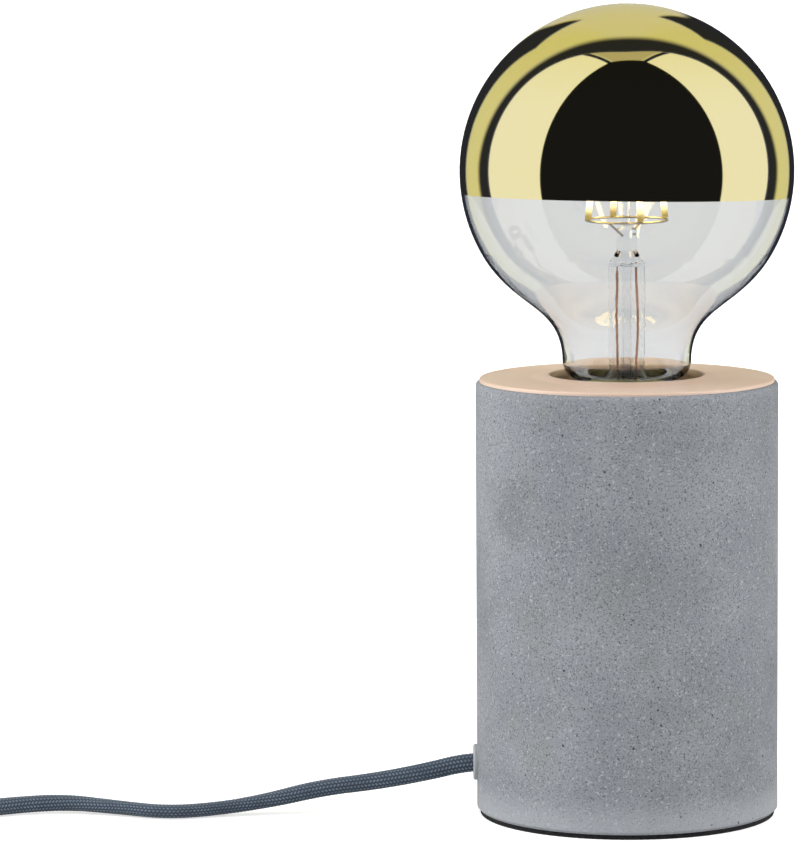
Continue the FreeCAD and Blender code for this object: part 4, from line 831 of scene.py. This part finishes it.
# --- the studio ---------------------------------------------------------------------------------
# A white table in a studio. Round the lamp stand two broad soft panels, which the mirror shows with
# the dark where the camera is, a dark edge behind them, a narrow slot overhead and the backdrop.
# Turns are in degrees from the camera's side. Other places are parts of a direction of length 1.
PANEL_LIGHT = (0.94, 0.94, 0.94)
BEHIND_LIGHT = (0.73, 0.71, 0.44)
BACKDROP_LIGHT = (0.735, 0.715, 0.585)
SLOT_LIGHT = (0.50, 0.46, 0.34)
GLASS_LIGHT = (0.765, 0.785, 0.795)
STUDIO_DARK = (0.0095, 0.0100, 0.0140)
STUDIO_DIM = (0.024, 0.026, 0.040)
WHITE = (1.0, 1.0, 1.0)
# The dark round the camera.
FRONT_TURN = 1.3
DARK_FRONT, DARK_FRONT_SOFT = 66.0, 0.5
DARK_FRONT_END, DARK_FRONT_END_SOFT = -0.067, 0.004
# The panels' back edges, and the dim arch past them, which is narrower at its shoulders.
BACK_TURN = -0.7
PANEL_BACK = 0.10
PANEL_SPREAD = 0.52
PANEL_ROUND = 0.2
PANEL_LEAN = 0.065
PANEL_SOFT = 0.01
ARCH_WIDTH = 0.26
ARCH_SHOULDER = 0.30
ARCH_SOFT = 0.055
BEHIND_FROM, BEHIND_FULL = 0.1, 0.25
# The slot overhead, narrower towards the camera, and its dark frames.
SLOT_FROM, SLOT_FULL = 0.80, 0.84
SLOT_FRONT = -0.105
SLOT_SPREAD = 0.708
SLOT_HALF, SLOT_SOFT = 0.2128, 0.05
SLOT_FRAME, SLOT_FRAME_SOFT = 0.015, 0.027
# The dim edges behind the panels, wider low down and a little lower on the left.
EDGE_FROM, EDGE_TO, EDGE_LOW_TO = 149.0, 168.7, 175.0
EDGE_SOFT = 1.0
EDGE_HIGH, EDGE_LOW = 0.40, 0.05
EDGE_TOP, EDGE_TOP_SOFT = 0.585, 0.01
EDGE_SLOPE = -0.06


def turned_studio(tree, looking, degrees):
    """How far a direction goes right, back and up in the turned studio, and its turn from the front."""
    way = add_node(tree, "ShaderNodeVectorRotate", {
        "Vector": looking, "Angle": math.radians(-degrees),
    }, rotation_type="Z_AXIS")
    right, back, height = add_node(tree, "ShaderNodeSeparateXYZ", {"Vector": way.outputs[0]}).outputs
    sideways = work_out(tree, "ABSOLUTE", right)
    turned = work_out(tree, "ARCTAN2", sideways, work_out(tree, "MULTIPLY", back, -1.0))
    return right, sideways, back, height, work_out(tree, "MULTIPLY", turned, 180 / math.pi)


def edge_at(tree, given, place, half):
    """0 below the place and 1 above it, or the other way round where half is less than 0."""
    return fade(tree, given, place - half, place + half)


def seen_through_glass(tree):
    """1 for a ray that has passed glass and met no mirror, or met something inside it; 0 for others."""
    ray = tree.nodes.new("ShaderNodeLightPath").outputs
    unmirrored = work_out(tree, "LESS_THAN", ray["Glossy Depth"], 0.5)
    inside = work_out(tree, "GREATER_THAN", ray["Transmission Depth"], 2.5)
    either = work_out(tree, "MAXIMUM", unmirrored, inside)
    return work_out(tree, "MULTIPLY", ray["Is Transmission Ray"], either), ray


studio = bpy.data.worlds.new("studio")
bpy.context.scene.world = studio
studio.use_nodes = True
tree = studio.node_tree
looking = tree.nodes.new("ShaderNodeTexCoord").outputs["Generated"]

_, _, back, _, turned = turned_studio(tree, looking, FRONT_TURN)
in_front = work_out(
    tree, "MULTIPLY", edge_at(tree, turned, DARK_FRONT, -DARK_FRONT_SOFT),
    edge_at(tree, back, DARK_FRONT_END, -DARK_FRONT_END_SOFT),
)

right, sideways, back, height, turned = turned_studio(tree, looking, BACK_TURN)
rounded = work_out(tree, "SQRT", work_out(tree, "MULTIPLY_ADD", sideways, sideways, PANEL_ROUND ** 2))
past = work_out(tree, "MULTIPLY_ADD", rounded, -PANEL_SPREAD, work_out(tree, "ADD", back, PANEL_BACK))
past = work_out(tree, "MULTIPLY_ADD", height, -PANEL_LEAN, past)
upward = work_out(tree, "MAXIMUM", height, 0.0)
shoulder = work_out(tree, "MULTIPLY", work_out(tree, "SUBTRACT", rounded, PANEL_ROUND), upward)
past_arch = work_out(tree, "MULTIPLY_ADD", shoulder, ARCH_SHOULDER, past)
arch = work_out(
    tree, "MULTIPLY", edge_at(tree, past, 0.0, PANEL_SOFT),
    edge_at(tree, past_arch, ARCH_WIDTH, -ARCH_SOFT),
)

overhead = work_out(
    tree, "MULTIPLY", fade(tree, height, SLOT_FROM, SLOT_FULL), work_out(tree, "LESS_THAN", past, 0.0)
)
from_frame = work_out(
    tree, "SUBTRACT", work_out(tree, "MULTIPLY_ADD", back, -SLOT_SPREAD, sideways), SLOT_HALF
)
slot = work_out(tree, "MULTIPLY", fade(tree, from_frame, 0.0, -SLOT_SOFT), overhead)
slot_frame = fade(tree, work_out(tree, "ABSOLUTE", from_frame), SLOT_FRAME_SOFT, SLOT_FRAME)
slot_frame = work_out(tree, "MULTIPLY", slot_frame, overhead)
slot_frame = work_out(tree, "MULTIPLY", slot_frame, work_out(tree, "GREATER_THAN", back, SLOT_FRONT))

edge_height = work_out(tree, "MULTIPLY_ADD", right, EDGE_SLOPE, height)
widened = fade(tree, height, EDGE_HIGH, EDGE_LOW, 0.0, EDGE_LOW_TO - EDGE_TO)
edge_turn = work_out(tree, "SUBTRACT", turned, widened)
back_edge = work_out(
    tree, "MULTIPLY", edge_at(tree, turned, EDGE_FROM, EDGE_SOFT),
    edge_at(tree, edge_height, EDGE_TOP, -EDGE_TOP_SOFT),
)
back_edge = work_out(tree, "MULTIPLY", back_edge, edge_at(tree, edge_turn, EDGE_TO, -EDGE_SOFT))

dim = work_out(tree, "MAXIMUM", arch, work_out(tree, "MAXIMUM", back_edge, slot_frame))
through, ray = seen_through_glass(tree)
shown = PANEL_LIGHT
for where, light in (
    (fade(tree, past, BEHIND_FROM, BEHIND_FULL), BEHIND_LIGHT),
    (fade(tree, turned, EDGE_FROM, EDGE_TO), BACKDROP_LIGHT),
    (slot, SLOT_LIGHT),
    (dim, STUDIO_DIM),
    (in_front, STUDIO_DARK),
    (through, GLASS_LIGHT),
    (ray["Is Camera Ray"], WHITE),
):
    shown = blend_colours(tree, where, shown, light)
tree.links.new(shown, tree.nodes["Background"].inputs["Color"])


# --- the soft lights ----------------------------------------------------------------------------
# The two panels again as wide suns, for the matt pieces; the mirror and the glass don't see them.
# Each is a (turn from the camera's side, height, strength), in degrees.
SOFT_LIGHTS = [(-70, 30, 2.6), (70, 30, 2.05)]
SOFT_ANGLE = 70

for turn, tilt, strength in SOFT_LIGHTS:
    soft = bpy.data.lights.new("soft_light", "SUN")
    soft.energy = strength
    soft.angle = math.radians(SOFT_ANGLE)
    stand = bpy.data.objects.new("soft_light", soft)
    turn, tilt = math.radians(turn), math.radians(tilt)
    towards = Vector((math.sin(turn) * math.cos(tilt), -math.cos(turn) * math.cos(tilt), math.sin(tilt)))
    stand.rotation_euler = towards.to_track_quat("Z", "Y").to_euler()
    stand.visible_glossy = False
    stand.visible_transmission = False
    bpy.context.scene.collection.objects.link(stand)


# --- the table ----------------------------------------------------------------------------------
# A white board that fills the view, pale enough to run into the backdrop and to keep the shadow.
# Through the glass it is as bright as the studio, and in a mirror the studio goes on below it.
TABLE_SIZE = 30.0
TABLE_PAINT = (0.8, 0.8, 0.8, 1.0)
TABLE_GLOW = 0.62

bpy.ops.mesh.primitive_plane_add(size=TABLE_SIZE)
table_top = bpy.context.object
table_top.name = "table_top"
tabletop = bpy.data.materials.new("white_table")
tabletop.use_nodes = True
tree = tabletop.node_tree
tree.nodes.remove(tree.nodes["Principled BSDF"])
through, ray = seen_through_glass(tree)
paint = add_node(tree, "ShaderNodeBsdfDiffuse", {"Color": TABLE_PAINT})
glow = add_node(tree, "ShaderNodeEmission", {
    "Color": (*WHITE, 1.0), "Strength": work_out(tree, "MULTIPLY", ray["Is Camera Ray"], TABLE_GLOW),
})
lit = add_node(tree, "ShaderNodeAddShader", {0: paint.outputs[0], 1: glow.outputs[0]})
even = add_node(tree, "ShaderNodeEmission", {"Color": (*GLASS_LIGHT, 1.0)})
shown = add_node(tree, "ShaderNodeMixShader", {0: through, 1: lit.outputs[0], 2: even.outputs[0]})
mirrored = work_out(tree, "GREATER_THAN", ray["Glossy Depth"], 0.5)
open_air = tree.nodes.new("ShaderNodeBsdfTransparent")
shown = add_node(tree, "ShaderNodeMixShader", {0: mirrored, 1: shown.outputs[0], 2: open_air.outputs[0]})
tree.links.new(shown.outputs[0], tree.nodes["Material Output"].inputs["Surface"])
table_top.data.materials.append(tabletop)

bpy.context.scene.view_settings.view_transform = "Standard"
